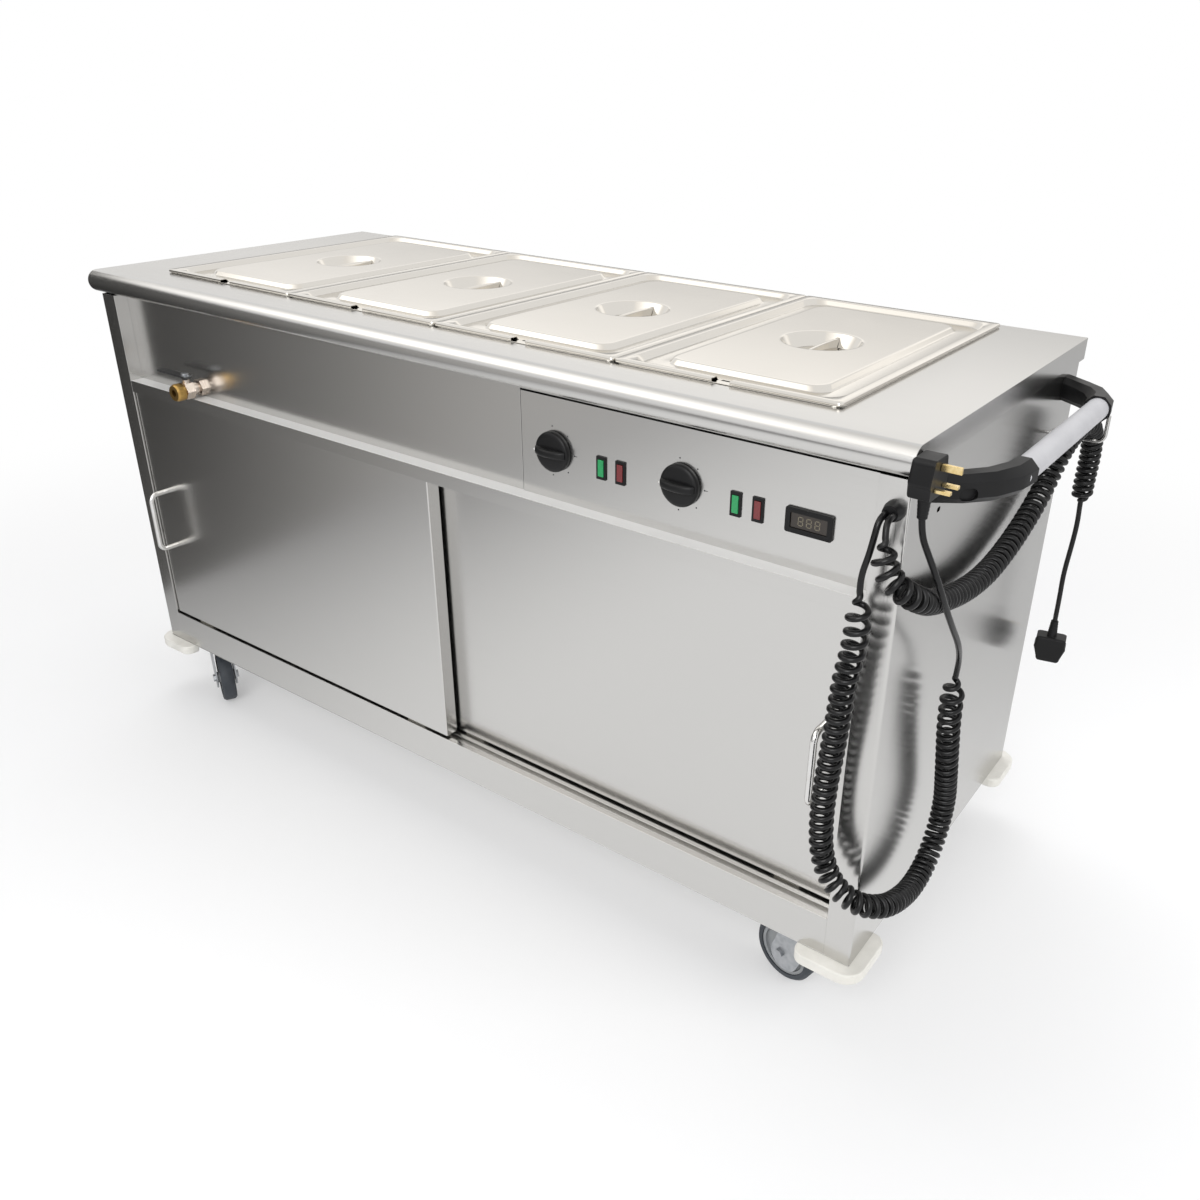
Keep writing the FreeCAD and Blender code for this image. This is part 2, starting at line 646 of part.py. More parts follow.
def leg_outline(v0, v1):
    axle = WHEEL_R
    return plate([(-TRAIL - 25, axle - 25, 24), (-TRAIL + 25, axle - 25, 24),
                  (26, 114, 3), (-32, 114, 3)], "y", v0, v1)


def make_fork(x, y, angle):
    """Pressed fork on its swivel, and the axle bolt through its legs."""
    axle = Vector(-TRAIL, 0, WHEEL_R)
    crown = box(-32, 26, -20, 20, 109.8, 114)
    fork = crown.fuse([leg_outline(-20, -17), leg_outline(17, 20)])
    across = Vector(0, 1, 0)
    bolt = rod(axle - across * 24, axle + across * 24, 4.0)
    heads = [hexagon(axle + across * 20, across, 13, 4.5),
             hexagon(axle - across * 24.5, across, 13, 4.5)]
    bolt = bolt.fuse(heads)
    bore = rod(Vector(0, 0, 90), Vector(0, 0, 120), 6.0 + RUNNING)
    fork = fork.cut([bore, rod(axle - across * 24, axle + across * 24, 4.0)])
    return [placed(fork.removeSplitter(), x, y, angle), placed(bolt.removeSplitter(), x, y, angle)]


def placed(shape, x, y, angle):
    """From the castor's own frame, trailing to -x, to its place under the carcass."""
    return moved(turned(shape, Vector(0, 0, 0), angle - 180), x, y, 0)


def make_tyre(x, y, angle):
    axle = Vector(-TRAIL, 0, WHEEL_R)
    tyre = turning([(40, -13), (46.5, -13), (50, -8.5), (50, 8.5), (46.5, 13), (40, 13)],
                   axle, Vector(0, 1, 0))
    return placed(tyre, x, y, angle)


def make_rim(x, y, angle):
    axle = Vector(-TRAIL, 0, WHEEL_R)
    bore = 4.0 + RUNNING
    rim = turning([(bore, -16.5), (11, -16.5), (11, -6), (35, -6), (35, -11), (40, -11),
                   (40, 11), (35, 11), (35, 6), (11, 6), (11, 16.5), (bore, 16.5)],
                  axle, Vector(0, 1, 0))
    return placed(rim, x, y, angle)


# ---- Cords

# Routes of the two cords, chosen by hand, from the gland to the plug.
CORD_1_HEAD = [(GLAND_X - CABLE_OFFSET, GLAND_END, GLAND_Z), (747.6, -30, 779), (746, -34, 758),
               (742, -33, 735), (736, -32, 712), (735, -31, 690)]
CORD_1_COIL = [(738, -31, 664), (737, -32, 620), (730, -33, 574), (728, -33, 526),
               (725, -33, 476), (721, -33, 425), (720, -33, 372), (725, -33, 318),
               (745, -34, 280), (778, -28, 260), (799, 5, 243), (801, 56, 218),
               (801, 106, 203), (800, 156, 210), (799, 190, 245), (799, 201, 292),
               (799, 188, 340), (799, 174, 390), (799, 160, 438), (799, 154, 486)]
CORD_1_TAIL = [(800, 153, 518), (805, 140, 549), (813, 100, 590), (815, 62, 628),
               (813, 30, 668), (807, 10, 706), (797, -4, 740), (788, -9, 762), (786, -9, 781)]
CORD_2_HEAD = [(GLAND_X + CABLE_OFFSET, GLAND_END, GLAND_Z), (756.4, -31, 779), (760, -38, 762),
               (762, -40, 742)]
CORD_2_COIL = [(768, -40, 722), (785, -34, 704), (795, -6, 686), (791, 38, 664),
               (789, 90, 647), (789, 144, 633), (789, 200, 624), (789, 256, 622),
               (789, 312, 629), (789, 366, 642), (789, 416, 659), (790, 458, 684),
               (793, 489, 716), (799, 521, 742), (806, 556, 749), (811, 583, 733),
               (813, 590, 695), (812, 590, 652)]
CORD_2_TAIL = [(812, 592, 616), (813, 598, 580), (812, 594, 540), (811, 584, 498),
               (812, 587, 454), (812, 588, 415)]


def tangent_arcs(points):
    """Straight runs joined by tangent arcs, and the radii of those arcs."""
    points = [Vector(*p) for p in points]
    edges = []
    radii = []
    start = points[0]
    for before, here, after in zip(points, points[1:], points[2:]):
        run_in = here - before
        run_out = after - here
        turn = run_in.getAngle(run_out)
        reach = 0.45 * min(run_in.Length, run_out.Length)
        radius = reach / math.tan(turn / 2)
        radii.append(radius)
        back = (before - here).normalize()
        ahead = (after - here).normalize()
        middle = here + (back + ahead).normalize() * (radius / math.cos(turn / 2) - radius)
        edges.append(Part.LineSegment(start, here + back * reach).toShape())
        edges.append(Part.Arc(here + back * reach, middle, here + ahead * reach).toShape())
        start = here + ahead * reach
    edges.append(Part.LineSegment(start, points[-1]).toShape())
    return edges, radii


def lead(points, name):
    """A plain cable along its route."""
    edges, radii = tangent_arcs(points)
    path = Part.Wire(edges)
    direction = Vector(*points[1]) - Vector(*points[0])
    ring = facet_ring(Vector(*points[0]), direction, CORD_D / 2, LEAD_SIDES)
    tube = path.makePipeShell([ring], True, False)
    wanted = Part.Face(ring).Area * path.Length
    print(name, "length", round(path.Length), "volume ratio", round(tube.Volume / wanted, 4),
          "radii", [round(r) for r in radii])
    return tube


def frames_along(edges, step):
    """Points, tangents and steady normals along a chain of edges."""
    places = []
    normal = None
    for edge in edges:
        count = max(2, int(edge.Length / step) + 1)
        for i in range(count):
            at = edge.getParameterByLength(edge.Length * (i + 0.5) / count)
            tangent = edge.tangentAt(at)
            if normal is None:
                normal = tangent.cross(Vector(0.31, 0.93, 0.2)).normalize()
            normal = (normal - tangent * normal.dot(tangent)).normalize()
            places.append((edge.valueAt(at), tangent, normal))
    return places


def biarc(p0, t0, p1, t1):
    """Two arcs that leave p0 along t0, meet smoothly and reach p1 along t1."""
    chord = p1 - p0
    both = t0 + t1
    spread = 2 * (1 - t0.dot(t1))
    along = chord.dot(both)
    reach = (math.sqrt(along ** 2 + spread * chord.dot(chord)) - along) / spread
    joint = (p0 + p1 + (t0 - t1) * reach) * 0.5
    arcs = []
    for start, end, tangent in ((p0, joint, t0), (joint, p1, t1)):
        line = end - start
        unit = Vector(line).normalize()
        if tangent is t1:
            tangent = (unit * (2 * unit.dot(t1)) - t1).normalize()
        off = tangent - unit * tangent.dot(unit)
        bend = tangent.getAngle(unit)
        middle = (start + end) * 0.5 + off.normalize() * (line.Length / 2 * math.tan(bend / 2))
        arcs.append(Part.Arc(start, middle, end).toShape())
    return arcs


def curly(points, turns, name):
    """A curly cord: one unbroken tube wound round its route, with straight ends."""
    edges, radii = tangent_arcs(points)
    total = sum(edge.Length for edge in edges)
    places = frames_along(edges, 0.5)
    straight = CORD_D
    swell = 16.0
    wound = total - 2 * straight

    def at(s):
        share = min(max(s / total, 0), 1) * (len(places) - 1)
        low = min(int(share), len(places) - 2)
        part = share - low
        a = places[low]
        b = places[low + 1]
        place = a[0] * (1 - part) + b[0] * part
        tangent = (a[1] * (1 - part) + b[1] * part).normalize()
        normal = a[2] * (1 - part) + b[2] * part
        normal = (normal - tangent * normal.dot(tangent)).normalize()
        inside = min(s - straight, total - straight - s)
        grow = min(max(inside / swell, 0), 1)
        radius = CURL_R * grow * grow * (3 - 2 * grow)
        angle = 2 * math.pi * turns * min(max((s - straight) / wound, 0), 1)
        side = tangent.cross(normal)
        return place + normal * radius * math.cos(angle) + side * radius * math.sin(angle)

    def heading(s):
        return (at(s + 0.4) - at(s - 0.4)).normalize()

    steps = 2 * turns
    marks = [straight + wound * i / steps for i in range(steps + 1)]
    first = edges[0].valueAt(edges[0].FirstParameter)
    last = edges[-1].valueAt(edges[-1].LastParameter)
    knots = [at(s) for s in marks]
    ways = [heading(s) for s in marks]
    ways[0] = (knots[0] - first).normalize()
    ways[-1] = (last - knots[-1]).normalize()
    arcs = [Part.LineSegment(first, knots[0]).toShape()]
    for i in range(steps):
        arcs += biarc(knots[i], ways[i], knots[i + 1], ways[i + 1])
    arcs.append(Part.LineSegment(knots[-1], last).toShape())
    spine = Part.Wire(arcs)
    maker = Part.BRepOffsetAPI.MakePipeShell(spine)
    maker.add(facet_ring(first, ways[0], CORD_D / 2, CORD_SIDES))
    maker.build()
    maker.makeSolid()
    coil = maker.shape()
    if coil.ShapeType != "Solid":
        coil = coil.Solids[0]
    print(name, "route", round(total), "cord in it", round(spine.Length), "turns", turns,
          "least self-gap", round(self_gap(arcs), 2), "radii", [round(r) for r in radii],
          "valid", coil.isValid(), "volume", round(coil.Volume))
    return coil


def self_gap(arcs):
    """Least clear distance between turns, measured on points along the tube's middle."""
    step = 1.5
    points = []
    run = 0.0
    for edge in arcs:
        count = max(1, round(edge.Length / step))
        for i in range(count):
            at = edge.getParameterByLength(edge.Length * i / count)
            points.append((run + edge.Length * i / count, edge.valueAt(at)))
        run += edge.Length
    least = 1e9
    for i, (s, p) in enumerate(points):
        for length, q in points[i + 1:i + 120]:
            if length - s > 3.2 * CORD_D:
                least = min(least, (p - q).Length)
    return least - CORD_D


def make_gland():
    """Cord gland: barrel and locknut in the post, domed cap with a bore for each cable."""
    centre = Vector(GLAND_X, 0, GLAND_Z)
    cap = turning([(0, 0), (12, 0), (12, 4), (9.5, 14), (0, 14)], centre, Vector(0, -1, 0))
    barrel = rod(centre, centre + Vector(0, 12, 0), 8.0)
    nut = hexagon(centre + Vector(0, SHEET, 0), Vector(0, 1, 0), 20, 4.5)
    gland = cap.fuse([barrel, nut])
    for side in (-1, 1):
        x = GLAND_X + side * CABLE_OFFSET
        start = Vector(x, GLAND_END + 4, GLAND_Z)
        gland = gland.cut(rod(start, Vector(x, 20, GLAND_Z), CORD_D / 2))
    return gland.removeSplitter()


def make_plug():
    """Moulded three-pin plug, pins along +x, cord entry at the bottom (z = 0)."""
    z = RELIEF + PLUG_V
    shell = plate([(-24, z + 21, 7), (24, z + 21, 7), (24, z - 6, 8), (13, z - 22, 5),
                   (-13, z - 22, 5), (-24, z - 6, 8)], "x", 0, PLUG_T)
    shell = shell.makeChamfer(2.5, [e for e in shell.Edges
                                    if abs(e.BoundBox.XMax) < 1e-4])
    relief = turning([(0, 0), (5.2, 0), (7.5, RELIEF), (7.5, RELIEF + 2), (0, RELIEF + 2)],
                     Vector(PLUG_T / 2, 0, 0), Vector(0, 0, 1))
    body = shell.fuse(relief)
    earth = box(PLUG_T, PLUG_T + 22.7, -2, 2, z + 7.1, z + 15.1)
    live = box(PLUG_T, PLUG_T + 17.7, -14.3, -7.9, z - 13.1, z - 9.1)
    neutral = box(PLUG_T, PLUG_T + 17.7, 7.9, 14.3, z - 13.1, z - 9.1)
    return [body.removeSplitter(), earth, live, neutral]


def make_cord_hook():
    """Bent rod under the rear bracket that the second cord's coil hangs over."""
    y = 548.0
    z = 727.0
    hook = rod_along([Vector(BODY_HALF, y, z), Vector(836, y, z), Vector(836, y, z + 40)],
                     3.0, 12.0)
    foot = rod(Vector(BODY_HALF, y, z), Vector(BODY_HALF + 3, y, z), 9.0)
    return hook.fuse(foot).removeSplitter()


# ---- All nodes

def plug_at(x, y, z):
    return [moved(piece, x, y, z) for piece in make_plug()]


def all_nodes():
    left_x = (-INNER + 2, DOOR_LAP)
    right_x = (-DOOR_LAP, INNER - 2)
    nodes = {
        "worktop": [make_worktop()],
        "bain_marie_tank": [make_tank()],
        "pan_support_bars": make_support_bars(),
        "side_panel_left": [make_side(False)],
        "side_panel_right": [make_side(True)],
        "back_panel": [make_back()],
        "base_pan": [make_base()],
        "cupboard_shelves": make_shelves(),
        "upper_front_panel": [make_upper_panel()],
        "control_panel": [make_control_panel()],
        "door_top_rail": [make_top_rail()],
        "door_bottom_track": [make_track()],
        "left_door": make_door(*left_x, LEFT_DOOR_Y),
        "right_door": make_door(*right_x, RIGHT_DOOR_Y),
        "left_door_handle": [make_bow_handle(-685, LEFT_DOOR_Y, 405)],
        "right_door_handle": [make_bow_handle(687, RIGHT_DOOR_Y, 413)],
        "left_door_glides": make_glides(*left_x, LEFT_DOOR_Y),
        "right_door_glides": make_glides(*right_x, RIGHT_DOOR_Y),
        "heating_elements": make_elements(),
        "thermostats": make_thermostats(),
        "control_knob_1": make_knob(KNOB_X[0]),
        "control_knob_2": make_knob(KNOB_X[1]),
        "panel_bezels": make_bezels(),
        "green_lamp_lenses": make_lenses(GREEN_X),
        "red_lamp_lenses": make_lenses(RED_X),
        "display_window": [make_display_window()],
        "drain_valve_body": make_valve(),
        "drain_valve_lever": [make_lever()],
        "corner_bumpers": make_bumpers(),
        "handle_brackets": make_brackets(),
        "handle_tube": [make_tube()],
        "cord_gland": [make_gland()],
        "cord_hook": [make_cord_hook()],
    }
    for i, x in enumerate(PAN_X):
        nodes[f"food_pan_{i + 1}"] = [make_pan(x)]
        nodes[f"pan_lid_{i + 1}"] = make_lid(x)
    nodes["castor_plates"] = [make_castor_plate(x, y) for x, y, angle in CASTORS]
    for i, castor in enumerate(CASTORS):
        nodes[f"castor_fork_{i + 1}"] = make_fork(*castor)
        nodes[f"castor_tyre_{i + 1}"] = [make_tyre(*castor)]
        nodes[f"castor_rim_{i + 1}"] = [make_rim(*castor)]
    return nodes


def halfway(p, q):
    return tuple((a + b) / 2 for a, b in zip(p, q))


def cord(head, coil, tail, turns, name):
    """The two plain ends and the curled part of a cord, split halfway along a straight run."""
    first = halfway(head[-1], coil[0])
    last = halfway(coil[-1], tail[0])
    leads = [lead(head + [first], name + " head"), lead([last] + tail, name + " tail")]
    return leads, curly([first] + coil + [last], turns, name + " coil")


def cord_nodes():
    ends = [CORD_1_TAIL[-1], CORD_2_TAIL[-1]]
    leads_1, coil_1 = cord(CORD_1_HEAD, CORD_1_COIL, CORD_1_TAIL, CORD_1_TURNS, "cord 1")
    leads_2, coil_2 = cord(CORD_2_HEAD, CORD_2_COIL, CORD_2_TAIL, CORD_2_TURNS, "cord 2")
    half = PLUG_T / 2
    hanging = []
    for piece in make_plug():
        upside = turned(piece, Vector(0, 0, 0), 180, Vector(1, 0, 0))
        hanging.append(moved(upside, ends[1][0] - half, ends[1][1], ends[1][2]))
    return {
        "cord_1_coil": [coil_1],
        "cord_1_leads": leads_1,
        "plug_1": plug_at(ends[0][0] - half, ends[0][1], ends[0][2]),
        "cord_2_coil": [coil_2],
        "cord_2_leads": leads_2,
        "plug_2": hanging,
    }


def main():
    os.makedirs("parts", exist_ok=True)
    rigid = all_nodes()
    whole = Part.Compound([s for shapes in rigid.values() for s in shapes])
    reach = whole.optimalBoundingBox(False, False)
    home = Vector(-reach.Center.x, -reach.Center.y, 0)
    print("frame shift", [round(v, 4) for v in home], "size", round(reach.XLength, 2),
          round(reach.YLength, 2), round(reach.ZLength, 2), "lowest", round(reach.ZMin, 4))
    nodes = dict(rigid)
    nodes.update(cord_nodes())
    for name, shapes in nodes.items():
        shape = shapes[0] if len(shapes) == 1 else Part.Compound(shapes)
        shape = shape.copy()
        shape.translate(home)
        if not shape.isValid():
            print("NOT VALID", name)
        shape.exportStep(f"parts/{name}.step")
    print(len(nodes), "nodes")


main()
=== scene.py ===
import math

import bmesh
import bpy
from mathutils import Euler, Matrix, Vector


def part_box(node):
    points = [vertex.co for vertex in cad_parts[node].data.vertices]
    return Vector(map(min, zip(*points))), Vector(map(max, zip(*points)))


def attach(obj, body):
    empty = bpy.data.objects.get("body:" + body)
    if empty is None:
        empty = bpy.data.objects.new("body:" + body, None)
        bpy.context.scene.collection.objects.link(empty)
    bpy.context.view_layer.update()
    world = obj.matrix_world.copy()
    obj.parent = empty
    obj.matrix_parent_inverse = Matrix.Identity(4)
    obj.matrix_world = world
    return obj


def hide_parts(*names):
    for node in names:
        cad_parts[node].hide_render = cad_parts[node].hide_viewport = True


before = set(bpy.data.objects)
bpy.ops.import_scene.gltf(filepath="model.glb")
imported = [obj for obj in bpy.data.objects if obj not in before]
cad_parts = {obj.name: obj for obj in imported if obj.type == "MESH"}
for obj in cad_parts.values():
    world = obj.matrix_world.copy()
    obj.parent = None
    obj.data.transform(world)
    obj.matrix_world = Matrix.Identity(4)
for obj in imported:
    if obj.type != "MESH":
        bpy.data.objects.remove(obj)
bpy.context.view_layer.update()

# ---- The studio
# A pale seamless floor, an even pale surround and three soft lamps.  The camera stands
# in front of the push-handle end, above the worktop.
MM = 0.001
LENS = 32.317          # the picture's focal length on a 36 mm wide frame

worktop_low, worktop_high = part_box("worktop")
middle_x = (worktop_low.x + worktop_high.x) / 2
post_y = worktop_low.y + 17 * MM      # the rolled edge stands 17 mm proud of the posts


def place(x, y, z):
    """Millimetres from the worktop's middle, the posts' front and the floor."""
    return Vector((middle_x + x * MM, post_y + y * MM, z * MM))


def linear(colour):
    """A hex sRGB colour as linear red, green, blue and full alpha."""
    shares = [int(colour[i:i + 2], 16) / 255 for i in (1, 3, 5)]
    return [c / 12.92 if c <= 0.04045 else ((c + 0.055) / 1.055) ** 2.4 for c in shares] + [1.0]


def node(tree, kind, settings=(), links=()):
    """Adds a node, with its settings or inputs' values, and its inputs' sources."""
    made = tree.nodes.new(kind)
    for name, value in dict(settings).items():
        if isinstance(name, str) and hasattr(made, name):
            setattr(made, name, value)
        else:
            made.inputs[name].default_value = value
    for name, source in dict(links).items():
        tree.links.new(source, made.inputs[name])
    return made


def new_material(name, colour, **inputs):
    """A material with its shader's own sockets set; returns it, its tree and its shader."""
    material = bpy.data.materials.new(name)
    material.use_nodes = True
    shader = material.node_tree.nodes["Principled BSDF"]
    shader.inputs["Base Color"].default_value = linear(colour)
    for key, value in inputs.items():
        shader.inputs[key.replace("_", " ")].default_value = value
    return material, material.node_tree, shader


camera = bpy.data.objects.new("camera", bpy.data.cameras.new("camera"))
bpy.context.scene.collection.objects.link(camera)
camera.location = place(1153.79, -1031.67, 1211.75)
camera.rotation_euler = Euler([math.radians(a) for a in (63.389, -0.981, 35.303)])
camera.data.sensor_width = 36
camera.data.lens = LENS
camera.data.shift_x = -0.0434
camera.data.shift_y = -0.0047
bpy.context.scene.camera = camera
bpy.context.scene.view_settings.view_transform = "Standard"

world = bpy.data.worlds.new("surround")
bpy.context.scene.world = world
world.use_nodes = True
surround = world.node_tree
surround.nodes.clear()
rays = node(surround, "ShaderNodeLightPath")
seen_or_glass = node(surround, "ShaderNodeMath", {"operation": "MAXIMUM"},
                     {0: rays.outputs["Is Camera Ray"], 1: rays.outputs["Is Transmission Ray"]})
shown = node(surround, "ShaderNodeMath", {"operation": "MAXIMUM"},
             {0: seen_or_glass.outputs[0], 1: rays.outputs["Is Glossy Ray"]})
soft_light = node(surround, "ShaderNodeBackground", {"Color": linear("#F2F2F4"), "Strength": 0.55})
backdrop = node(surround, "ShaderNodeBackground", {"Color": linear("#FFFFFF"), "Strength": 1.0})
either = node(surround, "ShaderNodeMixShader", {},
              {0: shown.outputs[0], 1: soft_light.outputs[0], 2: backdrop.outputs[0]})
node(surround, "ShaderNodeOutputWorld", {}, {"Surface": either.outputs[0]})


def studio_sheet(name, corners, material, camera_sees=True):
    """A flat stage piece that is not part of the trolley."""
    mesh = bpy.data.meshes.new(name)
    mesh.from_pydata([tuple(c) for c in corners], [], [tuple(range(len(corners)))])
    piece = bpy.data.objects.new(name, mesh)
    bpy.context.scene.collection.objects.link(piece)
    mesh.materials.append(material)
    piece.visible_camera = camera_sees
    return piece


# The floor takes the trolley's shadow and runs out into the white surround.
floor_paint, floor_tree, floor_shader = new_material("pale_floor", "#F6F6F6", Roughness=0.7)
floor_shader.inputs["Specular IOR Level"].default_value = 0.1
floor_rays = node(floor_tree, "ShaderNodeLightPath")
floor_seen = node(floor_tree, "ShaderNodeMath", {"operation": "MAXIMUM"},
                  {0: floor_rays.outputs["Is Camera Ray"], 1: floor_rays.outputs["Is Transmission Ray"]})
floor_where = node(floor_tree, "ShaderNodeTexCoord")
floor_away = node(floor_tree, "ShaderNodeVectorMath", {"operation": "LENGTH"},
                  {0: floor_where.outputs["Object"]})
floor_runs_out = node(floor_tree, "ShaderNodeMapRange",
                      {"interpolation_type": "SMOOTHSTEP", "From Min": 0.9, "From Max": 2.6,
                       "To Min": 0.3, "To Max": 1.0}, {"Value": floor_away.outputs["Value"]})
floor_share = node(floor_tree, "ShaderNodeMath", {"operation": "MULTIPLY"},
                   {0: floor_seen.outputs[0], 1: floor_runs_out.outputs["Result"]})
floor_glow = node(floor_tree, "ShaderNodeEmission", {"Color": linear("#FFFFFF"), "Strength": 1.0})
floor_plain = node(floor_tree, "ShaderNodeMixShader", {},
                   {0: floor_share.outputs[0], 1: floor_shader.outputs[0], 2: floor_glow.outputs[0]})
floor_axes = node(floor_tree, "ShaderNodeSeparateXYZ", {}, {0: floor_where.outputs["Object"]})
floor_leftward = node(floor_tree, "ShaderNodeMapRange",
                      {"interpolation_type": "SMOOTHSTEP", "From Min": -1.6, "From Max": -0.1,
                       "To Min": 0.2, "To Max": 1.0}, {"Value": floor_axes.outputs["X"]})
floor_behind = node(floor_tree, "ShaderNodeMapRange",
                    {"interpolation_type": "SMOOTHSTEP", "From Min": -0.3, "From Max": 1.2,
                     "To Min": 1.05, "To Max": 0.6}, {"Value": floor_axes.outputs["Y"]})
floor_tone = node(floor_tree, "ShaderNodeMath", {"operation": "MULTIPLY"},
                  {0: floor_leftward.outputs["Result"], 1: floor_behind.outputs["Result"]})
floor_mirrored = node(floor_tree, "ShaderNodeEmission", {"Color": linear("#FFFFFF")},
                      {"Strength": floor_tone.outputs[0]})
mirrored_share = node(floor_tree, "ShaderNodeMath", {"operation": "MULTIPLY", 1: 0.8},
                      {0: floor_rays.outputs["Is Glossy Ray"]})
floor_mix = node(floor_tree, "ShaderNodeMixShader", {},
                 {0: mirrored_share.outputs[0], 1: floor_plain.outputs[0], 2: floor_mirrored.outputs[0]})
floor_tree.links.new(floor_mix.outputs[0], floor_tree.nodes["Material Output"].inputs["Surface"])
REACH = 30.0
studio_sheet("floor", [(-REACH, -REACH, 0), (REACH, -REACH, 0), (REACH, REACH, 0), (-REACH, REACH, 0)],
             floor_paint)


def mirrored_card(name, corners, middle, reach, rim_glow, core_glow):
    """A card that only glossy metal mirrors; its glow changes smoothly about a middle."""
    paint, tree, shader = new_material(name, "#3C3A39", Roughness=0.9)
    where = node(tree, "ShaderNodeTexCoord")
    offset = node(tree, "ShaderNodeVectorMath", {"operation": "SUBTRACT", 1: middle},
                  {0: where.outputs["Object"]})
    shares = node(tree, "ShaderNodeVectorMath", {"operation": "DIVIDE", 1: reach}, {0: offset.outputs[0]})
    away = node(tree, "ShaderNodeVectorMath", {"operation": "LENGTH"}, {0: shares.outputs[0]})
    fade = node(tree, "ShaderNodeMapRange",
                {"interpolation_type": "SMOOTHSTEP", "From Min": 0.0, "From Max": 1.0,
                 "To Min": core_glow, "To Max": rim_glow}, {"Value": away.outputs["Value"]})
    glow = node(tree, "ShaderNodeEmission", {"Color": linear("#FFFDFA")},
                {"Strength": fade.outputs["Result"]})
    tree.links.new(glow.outputs[0], tree.nodes["Material Output"].inputs["Surface"])
    card = studio_sheet(name, corners, paint, camera_sees=False)
    card.visible_diffuse = False
    card.visible_shadow = False
    card.visible_transmission = False


# A dark card by the trolley's left front, a bright one overhead and one behind.
mirrored_card("dark_card", [(-1.25, -2.8, 0), (-1.25, -0.2, 0), (-1.25, -0.2, 1.15), (-1.25, -2.8, 1.15)],
              (-1.25, -0.35, 0.7), (1.0, 1.8, 3.0), 0.62, 0.04)
mirrored_card("high_card", [(-6.0, -5.0, 3.6), (0.6, -5.0, 3.6), (0.6, 1.4, 3.6), (-6.0, 1.4, 3.6)],
              (-2.7, -1.8, 3.6), (4.0, 3.2, 1.0), 1.0, 2.5)
mirrored_card("back_card", [(-14, 4.2, 0), (5, 4.2, 0), (5, 4.2, 3.3), (-14, 4.2, 3.3)],
              (0.0, 4.2, 2.6), (20.0, 1.0, 1.3), 0.62, 1.35)


def lamp(name, where, aim, width, power, mirrored=True):
    """A soft box: a square area lamp that looks at a point."""
    light = bpy.data.lights.new(name, "AREA")
    light.size = width
    light.energy = power
    piece = bpy.data.objects.new(name, light)
    bpy.context.scene.collection.objects.link(piece)
    piece.location = where
    piece.rotation_euler = (Vector(aim) - Vector(where)).to_track_quat("-Z", "Y").to_euler()
    piece.visible_glossy = mirrored
    return piece


lamp("front_box", (1.2, -3.2, 2.6), (0, 0, 0.5), 2.2, 70)
lamp("right_box", (3.4, 0.2, 2.0), (0.4, 0, 0.5), 1.8, 40, mirrored=False)
lamp("top_box", (-0.6, 0.6, 3.2), (0, 0, 0.8), 2.4, 45, mirrored=False)

# ---- Satin stainless sheet
# 1.5 mm austenitic sheet, cut, folded and welded.  The belt that finished it ran along each
# panel, so its scratches blur what it mirrors across them.
BRUSH_PITCH = 0.8 * MM      # scratches drawn as coarse as the render can show
BRUSH_LENGTH = 120 * MM


def brushed_sheet(name, along, colour="#CBCAC8", roughness=0.22, blur=0.45, metal=1.0):
    """Belt-brushed stainless with its scratches along X, Y or Z."""
    material, tree, shader = new_material(
        name, colour, Metallic=metal, Roughness=roughness, Anisotropic=blur)
    stretch = [1 / BRUSH_PITCH] * 3
    stretch["XYZ".index(along)] = 1 / BRUSH_LENGTH
    where = node(tree, "ShaderNodeTexCoord")
    drawn = node(tree, "ShaderNodeMapping", {"Scale": stretch}, {"Vector": where.outputs["Object"]})
    scratch = node(tree, "ShaderNodeTexNoise", {"Scale": 1.0, "Detail": 2.0},
                   {"Vector": drawn.outputs["Vector"]})
    smear = node(tree, "ShaderNodeTexNoise", {"Scale": 4.0, "Detail": 1.0},
                 {"Vector": where.outputs["Object"]})
    both = node(tree, "ShaderNodeMath", {"operation": "MULTIPLY_ADD", 1: 0.2},
                {0: smear.outputs["Fac"], 2: scratch.outputs["Fac"]})
    rough = node(tree, "ShaderNodeMapRange",
                 {"From Min": 0.35, "From Max": 0.85, "To Min": roughness - 0.03,
                  "To Max": roughness + 0.03}, {"Value": both.outputs[0]})
    relief = node(tree, "ShaderNodeBump", {"Strength": 0.005, "Distance": 0.04 * MM},
                  {"Height": scratch.outputs["Fac"]})
    lay = node(tree, "ShaderNodeTangent", {"direction_type": "UV_MAP"})
    tree.links.new(rough.outputs["Result"], shader.inputs["Roughness"])
    tree.links.new(relief.outputs["Normal"], shader.inputs["Normal"])
    tree.links.new(lay.outputs["Tangent"], shader.inputs["Tangent"])
    return material


def lay_grain(mesh, along):
    """A UV map in metres whose U runs along the grain."""
    axis = "XYZ".index(along)
    others = [i for i in range(3) if i != axis]
    uv = mesh.uv_layers.new(name="grain") if not mesh.uv_layers else mesh.uv_layers[0]
    for face in mesh.polygons:
        flat = others[0] if abs(face.normal[others[1]]) > abs(face.normal[others[0]]) else others[1]
        for corner in face.loop_indices:
            point = mesh.vertices[mesh.loops[corner].vertex_index].co
            uv.data[corner].uv = (point[axis], point[flat])


